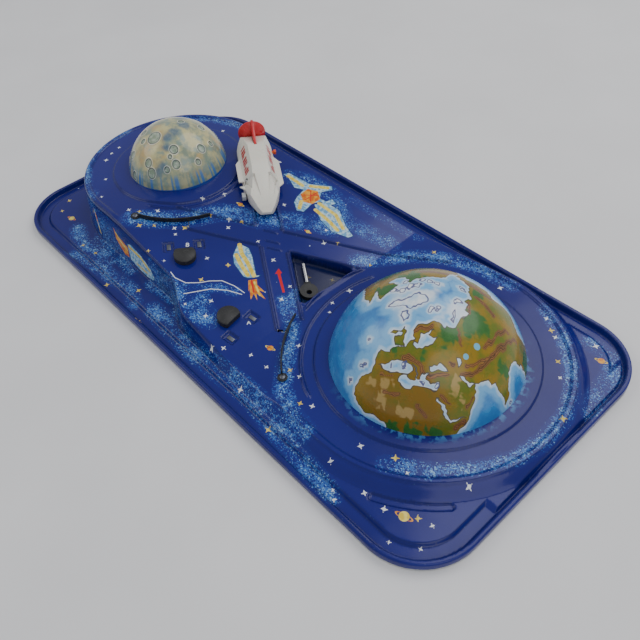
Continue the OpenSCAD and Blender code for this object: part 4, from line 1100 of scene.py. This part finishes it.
def rocket_place():
    """From the rocket's own frame (mm, nose along x, wheels at z = 0) to the row frame in metres."""
    x, y = ROCKET_AT
    return (Matrix.Scale(MM, 4) @ Matrix.Translation((x, y, float(deck_z(x)))) @ Matrix.Rotation(RAMP, 4, "Y")
            @ Matrix.Rotation(ROCKET_TURN, 4, "Z"))


def shell_top(x, y):
    """Height of the shell's sloping faces round the cockpit."""
    roof = 25.4 - max((x - 17) * 0.43, (x - 17) * 0.145)
    return min(roof, 9 + (18.5 - abs(y)) / 0.5625)


def open_cockpit(source):
    """The shell with both cockpit recesses cut right through it."""
    place, vertices, faces = rocket_place(), [], []
    for side in (-1, 1):
        ring = [(x, side * y) for x, y in (PANE if side > 0 else PANE[::-1])]
        start = len(vertices)
        for z in (10.0, 34.0):
            vertices.extend(place @ Vector((x, y, z)) for x, y in ring)
        n = len(ring)
        faces.append([start + n - 1 - i for i in range(n)])
        faces.append([start + n + i for i in range(n)])
        for i in range(n):
            k = (i + 1) % n
            faces.append([start + i, start + k, start + n + k, start + n + i])
    cutter = link("cockpit_cutter", vertices, faces, False)
    cut = add_object("shell_cut", source.data.copy())
    hole = cut.modifiers.new("hole", "BOOLEAN")
    hole.object, hole.operation, hole.solver = cutter, "DIFFERENCE", "EXACT"
    mesh = bpy.data.meshes.new_from_object(cut.evaluated_get(bpy.context.evaluated_depsgraph_get()))
    bpy.data.objects.remove(cut)
    bpy.data.objects.remove(cutter)
    return mesh


def cockpit_panes():
    """The two recessed panes: bevelled sides, and a floor deep at the rear that runs out forwards."""
    place, vertices, faces = rocket_place(), [], []
    for side in (-1, 1):
        start = len(vertices)
        centre = (25.0, 8.6)
        for level in (0, 1, 2):
            for x, y in PANE:
                if level == 2:
                    x, y = x + (centre[0] - x) * 0.11, y + (centre[1] - y) * 0.22
                depth = (0.25, 0.45, 0.4 + 2.7 * max(0.0, (37.5 - x) / 22.0))[level]
                vertices.append(place @ Vector((x, side * y, shell_top(x, y) - depth)))
        n = len(PANE)
        quads = [(level * n + i, level * n + (i + 1) % n, (level + 1) * n + (i + 1) % n, (level + 1) * n + i)
                 for level in (0, 1) for i in range(n)]
        quads += [tuple(2 * n + i for i in (0, 1, 2, 3, 5)), tuple(2 * n + i for i in (5, 3, 4))]
        faces.extend(tuple(start + i for i in (q if side > 0 else q[::-1])) for q in quads)
    return link("cockpit_panes", vertices, faces, False)


def rounded_copy(node, width):
    """A copy of a CAD part with its sharp edges rounded by width (mm)."""
    source = frame["nodes"][node]
    form = bmesh.new()
    form.from_mesh(open_cockpit(source) if node == "rocket_shell" else source.data)
    bmesh.ops.remove_doubles(form, verts=form.verts, dist=2e-6)
    bmesh.ops.dissolve_limit(form, angle_limit=math.radians(1.5), verts=form.verts, edges=form.edges)
    sharp = [e for e in form.edges if e.is_manifold and e.calc_face_angle(0) > math.radians(28)
             and e.calc_length() > 2.2 * width * MM]
    if sharp:
        bmesh.ops.bevel(form, geom=sharp, offset=width * MM, offset_type="OFFSET", segments=3,
                        profile=0.5, affect="EDGES", clamp_overlap=True, loop_slide=False)
    bmesh.ops.triangulate(form, faces=[f for f in form.faces if len(f.verts) > 4])
    mesh = bpy.data.meshes.new(node + "_soft")
    form.to_mesh(mesh)
    form.free()
    mesh.polygons.foreach_set("use_smooth", [True] * len(mesh.polygons))
    mesh.set_sharp_from_angle(angle=math.radians(32))
    return add_object(node + "_soft", mesh)


FINISHES = {
    "black_knob": plastic("black_knob", (0.022, 0.022, 0.023), (0.09, 0.09, 0.09), 0.46, 0.2),
    "blade_black": plastic("blade_black", (0.012, 0.012, 0.014), (0.10, 0.10, 0.11), 0.28, 0.10),
    "key_plastic": plastic("key_plastic", (0.016, 0.016, 0.017), (0.08, 0.08, 0.08), 0.34, 0.14),
    "shoe_plastic": plastic("shoe_plastic", (0.02, 0.02, 0.021), (0.09, 0.09, 0.09), 0.38),
    "block_grey": plastic("block_grey", (0.40, 0.41, 0.42), (0.62, 0.62, 0.60), 0.36),
    "wheel_plastic": plastic("wheel_plastic", (0.70, 0.68, 0.62), (0.45, 0.43, 0.40), 0.34),
    "tail_red": plastic("tail_red", (0.60, 0.012, 0.016), (0.72, 0.16, 0.14), 0.24, 0.10, 0.3),
    "lever_red": plastic("lever_red", (0.72, 0.10, 0.02), (0.80, 0.28, 0.14), 0.28),
    "zinc_steel": metal("zinc_steel", (0.52, 0.53, 0.54), (0.22, 0.21, 0.20), 0.34, 0.08, 0.5),
    "tab_steel": metal("tab_steel", (0.16, 0.17, 0.20), (0.05, 0.05, 0.06), 0.40, 0.08, 0.6),
    "bright_steel": metal("bright_steel", (0.66, 0.66, 0.66), (0.30, 0.28, 0.26), 0.22, 0.08, 0.3),
    "spring_steel": metal("spring_steel", (0.14, 0.17, 0.26), (0.20, 0.15, 0.10), 0.26, 0.08, 0.5),
    "washer_brass": metal("washer_brass", (0.62, 0.46, 0.20), (0.28, 0.18, 0.08), 0.32, 0.08, 0.5),
    "motor_brass": metal("motor_brass", (0.66, 0.52, 0.24), (0.32, 0.22, 0.10), 0.28, 0.08, 0.4),
    "gear_brass": metal("gear_brass", (0.70, 0.50, 0.20), (0.30, 0.19, 0.07), 0.24, 0.08, 0.4),
    "chassis_tin": metal("chassis_tin", (0.55, 0.56, 0.58), (0.28, 0.25, 0.22), 0.34, 0.08, 0.45),
    "shell_white": shell_finish(),
    "tyre_rubber": rubber(),
}
SOFT = {
    "knob_a": 0.45, "knob_b": 0.45, "rocket_shell": 0.42, "tail_nozzle": 0.3, "key_bow": 0.5,
    "key_shank": 0.15, "side_block": 0.3, "blade_a": 0.18, "blade_b": 0.18, "bracket_a": 0.12,
    "bracket_b": 0.12, "stop_lever": 0.25, "rocket_chassis": 0.1, "guide_shoe": 0.2, "rear_wheels": 0.2,
    "rear_tyres": 0.3, "front_wheels": 0.2, "link_a": 0.1, "link_b": 0.1, "crank_a": 0.12, "crank_b": 0.12,
    "blade_rivet_a": 0.2, "blade_rivet_b": 0.2, "body_screws": 0.12}
SLOTS = {part["node"]: part["material_slot"] for part in frame["record"]["subparts"]}


def dress_parts():
    """Every remaining CAD part gets its finish, and the ones whose edges are seen get a rounded copy."""
    for node, source in frame["nodes"].items():
        if node == "track_plate" or source.hide_render:
            continue
        finish = SLOTS[node]
        tab = node.startswith("bracket") or node.startswith("blade_rivet")
        material = FINISHES["tab_steel" if tab else finish]
        paint(source, material)
        if node in SOFT:
            obj = rounded_copy(node, SOFT[node])
            paint(obj, material, finish, source["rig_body"])
            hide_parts(node)


def rocket_marks():
    """Red bars printed on both sloping flanks of the shell, as thin raised ink."""
    place, vertices, faces = rocket_place(), [], []
    low, high = Vector((0, 18.5, 9)), Vector((0, 9.5, 25))
    up = (high - low).normalized()
    out = Vector((0, up.z, -up.y))

    def bar(x0, x1, t0, t1, slant, side):
        corners = [(x0, t0), (x1, t0), (x1 + slant, t1), (x0 + slant, t1)]
        start = len(vertices)
        for lift in (0.02, 0.07):
            for x, t in corners:
                p = low + up * t + out * lift
                vertices.append(place @ Vector((x, side * p.y, p.z)))
        quads = [(0, 3, 2, 1), (4, 5, 6, 7), (0, 1, 5, 4), (1, 2, 6, 5), (2, 3, 7, 6), (3, 0, 4, 7)]
        faces.extend(tuple(start + i for i in (q if side > 0 else q[::-1])) for q in quads)

    for side in (-1, 1):
        for k in range(10):
            x = -31 + 4.0 * k
            bar(x, x + (3.1 if k % 3 else 2.1), 6.8, 14.6 if k % 4 != 3 else 11.4, 0.9 * side, side)
    obj = link("rocket_red_marks", vertices, faces, False)
    n = Nodes("mark_red")
    rubbed = n.ramp(n.noise(330, 4, 0.65), 0.60, 0.70)
    color = n.mix(n.times(rubbed, 0.45), (0.46, 0.008, 0.014), (0.70, 0.50, 0.44))
    n.set(Base_Color=color, Roughness=0.34, Normal=n.bump(n.noise(700, 2), 0.1, 0.0002))
    paint(obj, n.material, "tail_red", "rocket")


dress_parts()
rocket_marks()
paint(cockpit_panes(), FINISHES["shell_white"], "shell_white", "rocket")


# ---------- floor, lights and camera ----------
def studio():
    """A pale floor, an even pale world and three soft lamps."""
    n = Nodes("studio_floor")
    color = n.mix(n.ramp(n.noise(6, 3), 0.3, 0.7), (0.73, 0.725, 0.73), (0.77, 0.765, 0.77))
    n.set(Base_Color=color, Roughness=0.75)
    floor = link("floor", [(-6, -6, 0), (6, -6, 0), (6, 6, 0), (-6, 6, 0)], [(0, 1, 2, 3)], False)
    floor.data.materials.append(n.material)
    world = bpy.data.worlds.new("studio")
    world.use_nodes = True
    world.node_tree.nodes["Background"].inputs[0].default_value = (0.86, 0.88, 0.92, 1)
    world.node_tree.nodes["Background"].inputs[1].default_value = 0.62
    bpy.context.scene.world = world
    lamps = [("key", (0.25, 1.1, 1.6), 1.7, 16), ("side", (1.4, -0.4, 1.3), 1.4, 7),
             ("fill", (-1.3, -0.9, 1.4), 1.2, 6)]
    for name, place, size, power in lamps:
        light = bpy.data.lights.new(name, "AREA")
        light.shape = "DISK"
        light.size = size
        light.energy = power
        lamp = add_object(name, light)
        lamp.location = place
        lamp.rotation_euler = (Vector((0, 0, 0.03)) - lamp.location).to_track_quat("-Z", "Y").to_euler()


def camera():
    """The photograph's viewpoint: azimuth and elevation in degrees, distance and target in mm."""
    azimuth, elevation, roll = math.radians(-38.81), math.radians(46.73), math.radians(-5.19)
    distance, target = 646.42, Vector((60.38, -18.06, 0))
    back = Vector((math.cos(elevation) * math.cos(azimuth), math.cos(elevation) * math.sin(azimuth),
                   math.sin(elevation)))
    right = Vector((-math.sin(azimuth), math.cos(azimuth), 0))
    up = back.cross(right)
    right, up = (math.cos(roll) * right + math.sin(roll) * up, -math.sin(roll) * right + math.cos(roll) * up)
    data = bpy.data.cameras.new("view")
    focal, width = 700.27, 640  # in pixels of the photograph
    data.sensor_width = 36
    data.lens = data.sensor_width * focal / width
    data.clip_start = 0.01
    obj = add_object("view", data)
    turn = Matrix((right, up, back)).transposed().to_4x4()
    obj.matrix_world = Matrix.Translation((target + back * distance) * MM) @ turn
    bpy.context.scene.camera = obj


studio()
camera()
